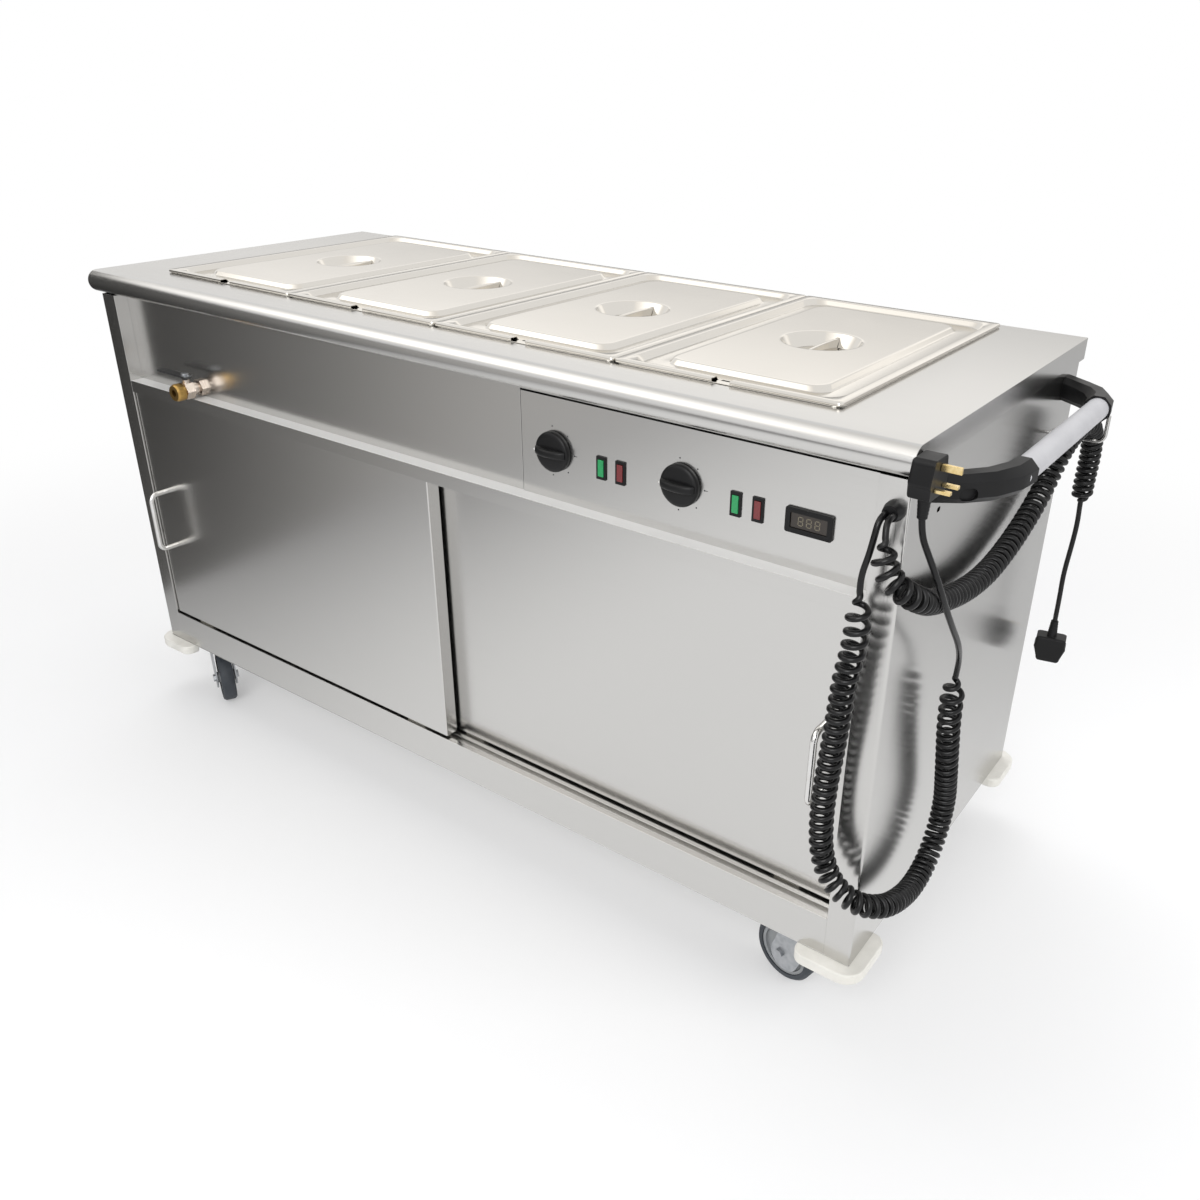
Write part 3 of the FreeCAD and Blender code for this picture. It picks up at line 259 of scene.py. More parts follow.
def softened(name, material, body="root", edge=0.5 * MM, segments=2, grain="X", corner=32):
    """Stands for a CAD node: the same solids, merged, with their edges broken."""
    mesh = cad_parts[name].data.copy()
    if "custom_normal" in mesh.attributes:
        mesh.attributes.remove(mesh.attributes["custom_normal"])
    work = bmesh.new()
    work.from_mesh(mesh)
    bmesh.ops.remove_doubles(work, verts=work.verts, dist=0.001 * MM)
    bmesh.ops.dissolve_limit(work, angle_limit=math.radians(0.6), verts=work.verts, edges=work.edges)
    for face in work.faces:
        face.smooth = True
    for line in work.edges:
        line.smooth = len(line.link_faces) == 2 and line.calc_face_angle() < math.radians(corner)
    work.to_mesh(mesh)
    work.free()
    mesh.materials.clear()
    mesh.materials.append(material)
    lay_grain(mesh, grain)
    piece = bpy.data.objects.new(name + "_finish", mesh)
    bpy.context.scene.collection.objects.link(piece)
    bevel = piece.modifiers.new("broken_edges", "BEVEL")
    bevel.width = edge
    bevel.segments = segments
    bevel.limit_method = "ANGLE"
    bevel.angle_limit = math.radians(corner)
    bevel.harden_normals = True
    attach(piece, body)
    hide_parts(name)
    return piece


def recoat(piece, material, chosen):
    """Another finish on the faces whose middle, in the row's millimetres, passes a test."""
    mesh = piece.data
    mesh.materials.append(material)
    for face in mesh.polygons:
        x = (face.center.x - middle_x) / MM
        y = (face.center.y - post_y) / MM
        if chosen(x, y, face.center.z / MM, face.normal):
            face.material_index = len(mesh.materials) - 1


def shifted(piece, step, chosen):
    """Moves the points that pass a test, to open a seam as wide as the real one."""
    for point in piece.data.vertices:
        x = (point.co.x - middle_x) / MM
        y = (point.co.y - post_y) / MM
        if chosen(x, y, point.co.z / MM):
            point.co += Vector(step) * MM


# Belt-brushed stainless: long soft highlights across the scratches, smooth along them.
sheet_along = brushed_sheet("stainless_sheet_brushed_along", "X")
sheet_across = brushed_sheet("stainless_sheet_brushed_across", "Y")

# The same steel on the ledge's top, rougher, in a paler and less metallic colour: a painted highlight that
# brightens the ledge into a band.
ledge_painted_highlight_sheet = brushed_sheet("stainless_ledge_painted_highlight", "X", "#EDEDEC", 0.42, 0.1, 0.3)

sheets = {}
for part in ("worktop", "upper_front_panel", "control_panel", "door_top_rail", "door_bottom_track",
             "back_panel", "base_pan", "cupboard_shelves", "bain_marie_tank"):
    sheets[part] = softened(part, sheet_along)
for part in ("side_panel_left", "side_panel_right", "pan_support_bars"):
    softened(part, sheet_across, grain="Y")
# The ledge's upward faces take the paler steel, a painted highlight.
recoat(sheets["door_top_rail"], ledge_painted_highlight_sheet, lambda x, y, z, n: n.z > 0.9 and z > 664)
shifted(sheets["control_panel"], (0, 0, -9), lambda x, y, z: z > 812)
shifted(sheets["upper_front_panel"], (-1.6, 0, 0), lambda x, y, z: x > 198)

# ---- Sliding doors
# Two double-skinned stainless doors on nylon glides, the left one in front, each with a
# bright bow handle of bent rod.


def metal_finish(name, colour, second, roughness, patch, pit, **inputs):
    """A metal whose tone, gloss and surface wander: patch and pit are sizes in millimetres."""
    material, tree, shader = new_material(name, colour, Metallic=1.0, **inputs)
    where = node(tree, "ShaderNodeTexCoord")
    patches = node(tree, "ShaderNodeTexNoise", {"Scale": 1 / (patch * MM), "Detail": 3.0},
                   {"Vector": where.outputs["Object"]})
    share = node(tree, "ShaderNodeMapRange", {"From Min": 0.35, "From Max": 0.7},
                 {"Value": patches.outputs["Fac"]})
    tone = node(tree, "ShaderNodeMix", {"data_type": "RGBA", 6: linear(colour), 7: linear(second)},
                {0: share.outputs["Result"]})
    rough = node(tree, "ShaderNodeMapRange",
                 {"To Min": roughness - 0.03, "To Max": roughness + 0.07}, {"Value": share.outputs["Result"]})
    pits = node(tree, "ShaderNodeTexNoise", {"Scale": 1 / (pit * MM), "Detail": 2.0},
                {"Vector": where.outputs["Object"]})
    relief = node(tree, "ShaderNodeBump", {"Strength": 0.08, "Distance": 0.05 * MM},
                  {"Height": pits.outputs["Fac"]})
    tree.links.new(tone.outputs[2], shader.inputs["Base Color"])
    tree.links.new(rough.outputs["Result"], shader.inputs["Roughness"])
    tree.links.new(relief.outputs["Normal"], shader.inputs["Normal"])
    return material


def moulded(name, colour, dusty, roughness, grain, depth=0.06, **inputs):
    """A moulding: the grain of its tool (grain and depth in millimetres) and a little dust."""
    material, tree, shader = new_material(name, colour, **inputs)
    where = node(tree, "ShaderNodeTexCoord")
    patches = node(tree, "ShaderNodeTexNoise", {"Scale": 22.0, "Detail": 4.0},
                   {"Vector": where.outputs["Object"]})
    share = node(tree, "ShaderNodeMapRange", {"From Min": 0.4, "From Max": 0.75},
                 {"Value": patches.outputs["Fac"]})
    tone = node(tree, "ShaderNodeMix", {"data_type": "RGBA", 6: linear(colour), 7: linear(dusty)},
                {0: share.outputs["Result"]})
    rough = node(tree, "ShaderNodeMapRange",
                 {"To Min": roughness - 0.03, "To Max": roughness + 0.1}, {"Value": share.outputs["Result"]})
    tool = node(tree, "ShaderNodeTexNoise", {"Scale": 1 / (grain * MM), "Detail": 2.0},
                {"Vector": where.outputs["Object"]})
    relief = node(tree, "ShaderNodeBump", {"Strength": 0.15, "Distance": depth * MM},
                  {"Height": tool.outputs["Fac"]})
    tree.links.new(tone.outputs[2], shader.inputs["Base Color"])
    tree.links.new(rough.outputs["Result"], shader.inputs["Roughness"])
    tree.links.new(relief.outputs["Normal"], shader.inputs["Normal"])
    return material


# Polished rod mirrors its surroundings in thin bright lines, a little dulled by hands.
bright_rod = metal_finish("polished_stainless_rod", "#DCDCDC", "#D2D0CC", 0.13, 40, 0.8)
# Nylon is a waxy, slightly warm white.
nylon = moulded("white_nylon", "#DEDCD4", "#CFCABC", 0.45, 1.0)
for side in ("left", "right"):
    softened(f"{side}_door", sheet_along, f"{side}_door")
    softened(f"{side}_door_handle", bright_rod, f"{side}_door", corner=40)
    softened(f"{side}_door_glides", nylon, f"{side}_door")

# ---- Food pans and their lids
# Gastronorm 1/1 pans and lids, deep-drawn from thin stainless and polished, with drawn
# moats, a round finger dish in each lid and a fin welded across it.
PAN_W, PAN_L = 324.2, 530.0
LID_Z, LID_TOP, PLATEAU_Z, MOAT_Z, DISH_Z = 858.6, 862.5, 861.5, 854.5, 842.5
PAN_FRONT = 62.0
PAN_MIDDLE = PAN_FRONT + PAN_L / 2
# Both profiles end in a flat ring, so that the plateau between them shades as flat.
DISH_PROFILE = [(60.5, PLATEAU_Z), (58.0, PLATEAU_Z), (57.0, 861.3), (56.0, 860.4),
                (47.2, 844.2), (45.6, 843.0), (43.0, DISH_Z)]
LID_PROFILE = [(0.0, LID_Z), (0.0, 861.3), (0.35, 862.1), (1.1, LID_TOP), (11.0, LID_TOP),
               (12.6, 862.2), (13.8, 861.2), (17.4, 855.9), (18.6, 854.9), (20.5, MOAT_Z),
               (44.5, MOAT_Z), (46.0, 854.8), (47.0, 855.6), (49.6, 860.3), (50.6, 861.2),
               (52.4, PLATEAU_Z), (55.0, PLATEAU_Z)]

polished, polish_tree, polish_shader = new_material(
    "drawn_polished_stainless", "#DBD7D0", Metallic=1.0, Roughness=0.13)
pan_where = node(polish_tree, "ShaderNodeTexCoord")
orange_peel = node(polish_tree, "ShaderNodeTexNoise", {"Scale": 60.0, "Detail": 2.0},
                   {"Vector": pan_where.outputs["Object"]})
wipe_marks = node(polish_tree, "ShaderNodeTexNoise", {"Scale": 7.0, "Detail": 4.0},
                  {"Vector": pan_where.outputs["Object"]})
pan_rough = node(polish_tree, "ShaderNodeMapRange",
                 {"From Min": 0.3, "From Max": 0.7, "To Min": 0.09, "To Max": 0.19},
                 {"Value": wipe_marks.outputs["Fac"]})
pan_relief = node(polish_tree, "ShaderNodeBump", {"Strength": 0.03, "Distance": 0.3 * MM},
                  {"Height": orange_peel.outputs["Fac"]})
polish_tree.links.new(pan_rough.outputs["Result"], polish_shader.inputs["Roughness"])
polish_tree.links.new(pan_relief.outputs["Normal"], polish_shader.inputs["Normal"])


def rounded_ring(work, x, half_w, half_l, radius, z, steps=9):
    """A ring of vertices: a rounded rectangle about a pan's middle."""
    ring = []
    for quarter, (sx, sy) in enumerate(((1, 1), (-1, 1), (-1, -1), (1, -1))):
        for i in range(steps + 1):
            angle = math.pi / 2 * (quarter + i / steps)
            px = x + sx * (half_w - radius) + radius * math.cos(angle)
            py = PAN_MIDDLE + sy * (half_l - radius) + radius * math.sin(angle)
            ring.append(work.verts.new(place(px, py, z)))
    return ring


def bridge(work, first, second):
    """Quads between two closed rings of as many vertices."""
    for i in range(len(first)):
        j = (i + 1) % len(first)
        work.faces.new((first[i], first[j], second[j], second[i]))


def finished(work, name, material, body, replaced=(), smooth=35):
    """A mesh from finished bmesh work, riding on its body and standing for CAD nodes."""
    mesh = bpy.data.meshes.new(name)
    bmesh.ops.recalc_face_normals(work, faces=work.faces)
    for face in work.faces:
        face.smooth = True
    for line in work.edges:
        if len(line.link_faces) == 2:
            line.smooth = line.calc_face_angle() < math.radians(smooth)
    work.to_mesh(mesh)
    work.free()
    mesh.materials.append(material)
    piece = bpy.data.objects.new(name, mesh)
    bpy.context.scene.collection.objects.link(piece)
    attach(piece, body)
    if replaced:
        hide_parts(*replaced)
    return piece


def flatten(piece):
    """Puts a piece's modifiers into its mesh."""
    bpy.context.view_layer.update()
    seen = piece.evaluated_get(bpy.context.evaluated_depsgraph_get())
    mesh = bpy.data.meshes.new_from_object(seen)
    piece.modifiers.clear()
    piece.data = mesh


def made_lid(index, x):
    """One lid: rings of its drawn profile, then a filled plateau and the finger dish."""
    work = bmesh.new()
    last = None
    for inset, z in LID_PROFILE:
        if inset < 12:
            radius = 6.0
        elif inset < 30:
            radius = 29.0
        else:
            radius = 23.0
        ring = rounded_ring(work, x, PAN_W / 2 - inset, PAN_L / 2 - inset, radius, z)
        if last:
            bridge(work, last, ring)
        last = ring
    circles = []
    count = 64
    for radius, z in DISH_PROFILE:
        circle = []
        for i in range(count):
            angle = 2 * math.pi * i / count
            circle.append(work.verts.new(
                place(x + radius * math.cos(angle), PAN_MIDDLE + radius * math.sin(angle), z)))
        if circles:
            bridge(work, circles[-1], circle)
        circles.append(circle)
    work.faces.new(circles[-1])
    rim = [work.edges.get((last[i], last[i - 1])) for i in range(len(last))]
    mouth = []
    for i in range(count):
        mouth.append(work.edges.get((circles[0][i], circles[0][i - 1])))
    bmesh.ops.triangle_fill(work, edges=rim + mouth, use_beauty=True)
    name = f"lid_{index}_pressing"
    piece = finished(work, name, polished, f"lid_{index}", [f"pan_lid_{index}"])
    wall = piece.modifiers.new("sheet", "SOLIDIFY")
    wall.thickness = 0.9 * MM
    wall.offset = -1
    notch = bpy.data.meshes.new("notch")
    cut = bmesh.new()
    bmesh.ops.create_cube(cut, size=1.0)
    bmesh.ops.scale(cut, vec=(26 * MM, 54 * MM, 30 * MM), verts=cut.verts)
    bmesh.ops.translate(cut, vec=place(x, PAN_FRONT, 860), verts=cut.verts)
    cut.to_mesh(notch)
    cut.free()
    cutter = bpy.data.objects.new("notch", notch)
    bpy.context.scene.collection.objects.link(cutter)
    slit = piece.modifiers.new("spoon_notch", "BOOLEAN")
    slit.object = cutter
    slit.operation = "DIFFERENCE"
    slit.solver = "EXACT"
    flatten(piece)
    bpy.data.objects.remove(cutter)
    return piece


def made_fin(index, x):
    """The lid's handle: a strip with a rounded back, on edge across the dish."""
    work = bmesh.new()
    half = 2.5
    back = 857.0
    rows = []
    for share in [i / 12 for i in range(13)]:
        along = -53.5 + 107 * share
        foot = DISH_Z if abs(along) < 45 else DISH_Z + (abs(along) - 45) * 1.55
        top = back - 0.0016 * along ** 2 * 0.4
        profile = [(-half, foot), (-half, top - 1.8), (-1.6, top - 0.4), (0, top), (1.6, top - 0.4),
                   (half, top - 1.8), (half, foot)]
        rows.append([work.verts.new(place(x + px, PAN_MIDDLE + along, max(pz, foot)))
                     for px, pz in profile])
    for first, second in zip(rows, rows[1:]):
        bridge(work, first, second)
    work.faces.new(rows[0])
    work.faces.new(rows[-1])
    return finished(work, f"lid_{index}_fin", polished, f"lid_{index}")


for i, pan_x in enumerate((-487.5, -162.5, 162.5, 487.5), 1):
    softened(f"food_pan_{i}", polished, f"pan_{i}", edge=0.3 * MM)
    made_lid(i, pan_x)
    made_fin(i, pan_x)

# ---- Controls
# Black moulded knobs on a stainless plate, printed marks, neon lamps in black snap-in
# bezels and a digital thermometer behind a smoked window.
# ABS from a finely spark-eroded tool: deep black with a low, soft sheen.
black_plastic = moulded("moulded_black_abs", "#101011", "#171718", 0.4, 1.2, Specular_IOR_Level=0.25)


def lens_material(name, colour, bright, glow):
    """Clear-coloured polycarbonate, prismed inside, with a neon's faint glow behind it."""
    material, tree, shader = new_material(name, colour, Emission_Strength=glow, Coat_Weight=0.4,
                                          Coat_Roughness=0.08)
    shader.inputs["Emission Color"].default_value = linear(bright)
    where = node(tree, "ShaderNodeTexCoord")
    prisms = node(tree, "ShaderNodeTexWave",
                  {"wave_type": "BANDS", "bands_direction": "Z", "Scale": 0.31 / (1.6 * MM),
                   "Distortion": 0.0}, {"Vector": where.outputs["Object"]})
    tone = node(tree, "ShaderNodeMix", {"data_type": "RGBA", 6: linear(colour), 7: linear(bright)},
                {0: prisms.outputs["Fac"]})
    rough = node(tree, "ShaderNodeMapRange", {"To Min": 0.14, "To Max": 0.3},
                 {"Value": prisms.outputs["Fac"]})
    tree.links.new(tone.outputs[2], shader.inputs["Base Color"])
    tree.links.new(rough.outputs["Result"], shader.inputs["Roughness"])
    return material


# Prisms 1.6 mm apart make fine light and dark bars across each lamp.
green_lens = lens_material("green_neon_lens", "#0B7A42", "#159A58", 0.12)
red_lens = lens_material("red_neon_lens", "#5A1418", "#7E2427", 0.05)
# Acrylic darkened brown, glossy, with faint wiping marks.
smoked = moulded("smoked_acrylic_window", "#2E2823", "#39322B", 0.16, 6.0, 0.02)
# Silk-screened ink is matt and slightly broken at its edges; the pointer is pad-printed.
printed_ink = moulded("screen_printed_ink", "#2C2C2E", "#3E3E40", 0.5, 0.5)
pointer_white = moulded("white_pad_print", "#E9E9E6", "#D8D6CF", 0.45, 0.5)
unlit_digits = moulded("unlit_display_segments", "#77705F", "#6A6353", 0.4, 0.8)
PANEL_FACE = 22.5
KNOB_Z = 734.0
KNOB_PROFILE = [(0.0, 22.2), (27.4, 22.2), (28.0, 21.6), (28.0, 17.2), (27.4, 15.4), (25.6, 14.0),
                (22.0, 13.2), (0.0, 12.8)]


def turned(work, centre, profile, count=56):
    """A closed turned solid about Y: profile points are (radius, y)."""
    rings = []
    for radius, y in profile:
        if radius == 0:
            rings.append([work.verts.new(place(centre[0], y, centre[1]))])
            continue
        ring = []
        for i in range(count):
            angle = 2 * math.pi * i / count
            ring.append(work.verts.new(place(centre[0] + radius * math.cos(angle), y,
                                             centre[1] + radius * math.sin(angle))))
        rings.append(ring)
    for first, second in zip(rings, rings[1:]):
        if len(first) > 1 and len(second) > 1:
            bridge(work, first, second)
            continue
        tip = first[0] if len(first) == 1 else second[0]
        ring = second if len(first) == 1 else first
        for i in range(count):
            work.faces.new((tip, ring[i], ring[(i + 1) % count]))


def made_knob(index, x):
    """Moulded cap with a crowned grip across it and a white pointer on its rim."""
    work = bmesh.new()
    turned(work, (x, KNOB_Z), KNOB_PROFILE)
    rows = []
    for i in range(25):
        u = i / 12 - 1
        crest = 13.4 - 10.0 * math.sqrt(max(0.0, 1 - (0.985 * u) ** 2))
        half = 7.2 - 2.0 * u ** 4
        row = []
        for v in [j / 10 - 1 for j in range(21)]:
            round_off = (1 - abs(v) ** 3.2) ** 0.6
            row.append(work.verts.new(place(x + 25.6 * u, 13.6 + (crest - 13.6) * round_off,
                                            KNOB_Z + half * v)))
        rows.append(row)
    for first, second in zip(rows, rows[1:]):
        for j in range(20):
            work.faces.new((first[j], first[j + 1], second[j + 1], second[j]))
    loops = [rows[0], [r[-1] for r in rows], rows[-1][::-1], [r[0] for r in rows][::-1]]
    edge = []
    for line in loops:
        edge += line[:-1]
    work.faces.new(edge)
    spindle = [(0.0, 44.0), (2.8, 44.0), (2.8, 20.0), (0.0, 20.0)]
    turned(work, (x, KNOB_Z), spindle, 16)
    cap = finished(work, f"knob_{index}_cap", black_plastic, f"knob_{index}",
                   [f"control_knob_{index}"], smooth=50)
    pointer = bmesh.new()
    bmesh.ops.create_cube(pointer, size=1.0)
    bmesh.ops.scale(pointer, vec=(6.0 * MM, 8.6 * MM, 2.6 * MM), verts=pointer.verts)
    bmesh.ops.translate(pointer, vec=place(x - 25.5, 17.0, KNOB_Z), verts=pointer.verts)
    bmesh.ops.bevel(pointer, geom=pointer.edges[:], offset=0.3 * MM, segments=2, affect="EDGES")
    finished(pointer, f"knob_{index}_pointer", pointer_white, f"knob_{index}")
    return cap


def dial_marks():
    """Geometry nodes: dots stepped round each dial's middle, joined into one print."""
    tree = bpy.data.node_groups.new("dial_marks", "GeometryNodeTree")
    tree.interface.new_socket("Geometry", in_out="INPUT", socket_type="NodeSocketGeometry")
    for name, kind, value in (("Dots", "NodeSocketInt", 5), ("First Angle", "NodeSocketFloat", 1.66),
                              ("Step Angle", "NodeSocketFloat", -0.83),
                              ("Ring Radius", "NodeSocketFloat", 34.5 * MM),
                              ("Dot Radius", "NodeSocketFloat", 1.1 * MM)):
        tree.interface.new_socket(name, in_out="INPUT", socket_type=kind).default_value = value
    tree.interface.new_socket("Geometry", in_out="OUTPUT", socket_type="NodeSocketGeometry")
    given = node(tree, "NodeGroupInput")
    dots = node(tree, "GeometryNodePoints", {}, {"Count": given.outputs["Dots"]})
    number = node(tree, "GeometryNodeInputIndex")
    turn = node(tree, "ShaderNodeMath", {"operation": "MULTIPLY_ADD"},
                {0: number.outputs[0], 1: given.outputs["Step Angle"], 2: given.outputs["First Angle"]})
    across = node(tree, "ShaderNodeMath", {"operation": "COSINE"}, {0: turn.outputs[0]})
    upward = node(tree, "ShaderNodeMath", {"operation": "SINE"}, {0: turn.outputs[0]})
    spot = node(tree, "ShaderNodeCombineXYZ", {}, {"X": across.outputs[0], "Z": upward.outputs[0]})
    reach = node(tree, "ShaderNodeVectorMath", {"operation": "SCALE"},
                 {0: spot.outputs[0], "Scale": given.outputs["Ring Radius"]})
    spread = node(tree, "GeometryNodeSetPosition", {},
                  {"Geometry": dots.outputs[0], "Position": reach.outputs[0]})
    dials = node(tree, "GeometryNodeInstanceOnPoints", {}, {"Points": given.outputs["Geometry"],
                                                            "Instance": spread.outputs[0]})
    all_dots = node(tree, "GeometryNodeRealizeInstances", {}, {"Geometry": dials.outputs[0]})
    disc = node(tree, "GeometryNodeMeshCylinder", {"Vertices": 16, "Depth": 0.2 * MM},
                {"Radius": given.outputs["Dot Radius"]})
    marks = node(tree, "GeometryNodeInstanceOnPoints",
                 {"Rotation": (math.pi / 2, 0, 0)},
                 {"Points": all_dots.outputs[0], "Instance": disc.outputs[0]})
    whole = node(tree, "GeometryNodeRealizeInstances", {}, {"Geometry": marks.outputs[0]})
    inked = node(tree, "GeometryNodeSetMaterial", {"Material": printed_ink}, {"Geometry": whole.outputs[0]})
    node(tree, "NodeGroupOutput", {}, {"Geometry": inked.outputs[0]})
    return tree


def grown(name, tree, points, body, slot, **sizes):
    """Runs a tree of geometry nodes on points and keeps the result as a plain mesh."""
    mesh = bpy.data.meshes.new(name)
    mesh.from_pydata([tuple(p) for p in points], [], [])
    piece = bpy.data.objects.new(name, mesh)
    bpy.context.scene.collection.objects.link(piece)
    growth = piece.modifiers.new("growth", "NODES")
    growth.node_group = tree
    for item in tree.interface.items_tree:
        if item.item_type == "SOCKET" and item.in_out == "INPUT" and item.name in sizes:
            growth[item.identifier] = sizes[item.name]
    flatten(piece)
    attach(piece, body)
    return piece


def bar_marks(name, material, across, upward):
    """Geometry nodes: one thin bar at each point, for dial ticks and display segments."""
    tree = bpy.data.node_groups.new(name, "GeometryNodeTree")
    tree.interface.new_socket("Geometry", in_out="INPUT", socket_type="NodeSocketGeometry")
    for label, value in (("Across", across * MM), ("Upward", upward * MM), ("Thickness", 0.2 * MM)):
        tree.interface.new_socket(label, in_out="INPUT", socket_type="NodeSocketFloat").default_value = value
    tree.interface.new_socket("Geometry", in_out="OUTPUT", socket_type="NodeSocketGeometry")
    given = node(tree, "NodeGroupInput")
    size = node(tree, "ShaderNodeCombineXYZ", {},
                {"X": given.outputs["Across"], "Y": given.outputs["Thickness"],
                 "Z": given.outputs["Upward"]})
    bar = node(tree, "GeometryNodeMeshCube", {}, {"Size": size.outputs[0]})
    bars = node(tree, "GeometryNodeInstanceOnPoints", {},
                {"Points": given.outputs["Geometry"], "Instance": bar.outputs[0]})
    whole = node(tree, "GeometryNodeRealizeInstances", {}, {"Geometry": bars.outputs[0]})
    inked = node(tree, "GeometryNodeSetMaterial", {"Material": material}, {"Geometry": whole.outputs[0]})
    node(tree, "NodeGroupOutput", {}, {"Geometry": inked.outputs[0]})
    return tree


knobs_x = (257.0, 462.0)
for i, knob_x in enumerate(knobs_x, 1):
    made_knob(i, knob_x)
grown("dial_dots", dial_marks(), [place(x, PANEL_FACE - 0.05, KNOB_Z) for x in knobs_x],
      "root", "black_plastic")
grown("dial_ticks", bar_marks("dial_tick", printed_ink, 5.0, 0.8),
      [place(x + 36.5, PANEL_FACE - 0.05, KNOB_Z) for x in knobs_x], "root", "black_plastic")
softened("panel_bezels", black_plastic, edge=0.8 * MM)
softened("green_lamp_lenses", green_lens, edge=0.6 * MM)
softened("red_lamp_lenses", red_lens, edge=0.6 * MM)
softened("display_window", smoked, edge=0.2 * MM)
# Three unlit figures of seven bars each, 11 mm high, just proud of the window's face.
DIGIT_X, DIGIT_Z, DIGIT_Y = (631.0, 642.0, 653.0), 728.0, 20.4
grown("display_level_bars", bar_marks("level_bar", unlit_digits, 4.6, 1.1),
      [place(x, DIGIT_Y, DIGIT_Z + z) for x in DIGIT_X for z in (-5.2, 0, 5.2)], "root", "display_glass")
grown("display_upright_bars", bar_marks("upright_bar", unlit_digits, 1.1, 4.0),
      [place(x + side * 3.0, DIGIT_Y, DIGIT_Z + z) for x in DIGIT_X for side in (-1, 1) for z in (-2.6, 2.6)],
      "root", "display_glass")
softened("thermostats", black_plastic)

# ---- Drain tap
# A brass valve on a tail pipe from the tank, with a plated lever that lies along the
# panel while it is shut.
# Machined brass gone dull: a warm yellow with brown patches.
brass = metal_finish("dulled_machined_brass", "#B8975A", "#A5834A", 0.33, 9, 0.5)
# Nickel over brass: pale, slightly pink.
nickel = metal_finish("nickel_plated_brass", "#CFC4BA", "#C2B6AA", 0.28, 12, 0.6)
# Bright zinc plate on pressed steel: cool grey with faint cloudy patches.
zinc = metal_finish("zinc_plated_steel", "#ACAEB1", "#9C9FA2", 0.33, 8, 0.7)
# The lever is dipped in dark vinyl; only its cap is bare.
dipped = moulded("dark_vinyl_dip", "#2A2A2B", "#38383A", 0.35, 1.5)
tap = softened("drain_valve_body", nickel)
recoat(tap, brass, lambda x, y, z, n: y < -12.4 and z < 697)
lever = softened("drain_valve_lever", dipped, "valve_lever")
recoat(lever, zinc, lambda x, y, z, n: z > 705.5 and x > -556)

# ---- Push handle
# Two moulded elbows screwed to the side panel, and a coated tube between them.
# Powder coat: pale grey, satin, with a fine orange peel.
coated_tube = moulded("grey_powder_coat", "#B9B9BC", "#B1B1B4", 0.4, 2.2, 0.12)
softened("handle_brackets", black_plastic, edge=1.0 * MM, segments=3)
softened("handle_tube", coated_tube)

# ---- Bumpers and castors
# Cream moulded corner pieces under the carcass; zinc-plated swivel castors with grey
# rubber tyres on moulded centres.
# Polyethylene is cream, waxy and scuffed.
cream = moulded("cream_polyethylene", "#EAE8E1", "#DAD8D0", 0.45, 3.0, 0.15)
# Non-marking rubber: blue-grey, dry, dusted by the floor.
tyre = moulded("blue_grey_rubber", "#2F343A", "#484C52", 0.65, 1.5, 0.2)
# Nylon wheel centre with the sheen of its mould.
rim = moulded("grey_nylon_centre", "#8F9294", "#9FA1A2", 0.45, 2.0)
softened("corner_bumpers", cream, edge=2.5 * MM, segments=3)
softened("castor_plates", zinc)
for i in (1, 2, 3, 4):
    softened(f"castor_fork_{i}", zinc, f"castor_swivel_{i}")
    softened(f"castor_tyre_{i}", tyre, f"castor_wheel_{i}", corner=50)
    softened(f"castor_rim_{i}", rim, f"castor_wheel_{i}")

# ---- Heating elements
# Sheathed elements under the pans and under the cupboard's floor, dull from heat.
# Incoloy sheath, blued and browned by heat.
sheath = metal_finish("heat_dulled_sheath", "#8C8880", "#6E655C", 0.45, 25, 1.0)
softened("heating_elements", sheath)

# ---- Mains cords
# Two curly cords of black flexible cable leave one gland on the right post.  Each is a
# smooth route with its curls wound round it, and ends in a moulded three-pin plug.
# The turns are counted in the photo, less surely for the second cord.  The curls' radius
# is set to the width of the coils there.
CORD_D = 7.5
CURL_R = 12.2
CURL_STEPS = 14        # points in one turn
LEAD_STEP = 6          # millimetres between the points of a straight lead
SWELL_TURNS = 1.5      # the curl grows to its full radius over this many turns
PACKED_PITCH = 0.76    # share of the usual pitch where the turns lie closer
CORD_1 = [(747.6, -14, 779), (747.6, -30, 779), (746, -34, 758), (742, -33, 735), (736, -32, 712),
          (735, -31, 690), (738, -31, 664), (737, -32, 620), (730, -33, 574), (728, -33, 526),
          (725, -33, 476), (721, -33, 425), (720, -33, 372), (725, -33, 318), (745, -34, 280),
          (778, -28, 260), (799, 5, 243), (801, 56, 218), (801, 106, 203), (800, 156, 210),
          (799, 190, 245), (799, 201, 292), (799, 188, 340), (799, 174, 390), (799, 160, 438),
          (799, 154, 486), (800, 153, 518), (805, 140, 549), (813, 100, 590), (815, 62, 628),
          (813, 30, 668), (807, 10, 706), (797, -4, 740), (788, -9, 762), (786, -9, 781)]
CORD_2 = [(756.4, -14, 779), (756.4, -31, 779), (760, -38, 762), (762, -40, 742), (768, -40, 722),
          (785, -34, 704), (795, -6, 686), (791, 38, 664), (789, 90, 647), (789, 144, 633),
          (789, 200, 624), (789, 256, 622), (789, 312, 629), (789, 366, 642), (789, 416, 659),
          (790, 458, 684), (793, 489, 716), (799, 521, 742), (806, 556, 749), (811, 583, 733),
          (813, 590, 695), (812, 590, 652), (812, 592, 616), (813, 598, 580), (812, 594, 540),
          (811, 584, 498), (812, 587, 454), (812, 588, 415)]


def cable_curve(name, points, order, material=None):
    """A NURBS curve through or near points in the row frame."""
    data = bpy.data.curves.new(name, "CURVE")
    data.dimensions = "3D"
    spline = data.splines.new("NURBS")
    spline.points.add(len(points) - 1)
    for control, point in zip(spline.points, points):
        control.co = (*point, 1.0)
    spline.order_u = order
    spline.use_endpoint_u = True
    if material:
        data.materials.append(material)
    piece = bpy.data.objects.new(name, data)
    bpy.context.scene.collection.objects.link(piece)
    return piece


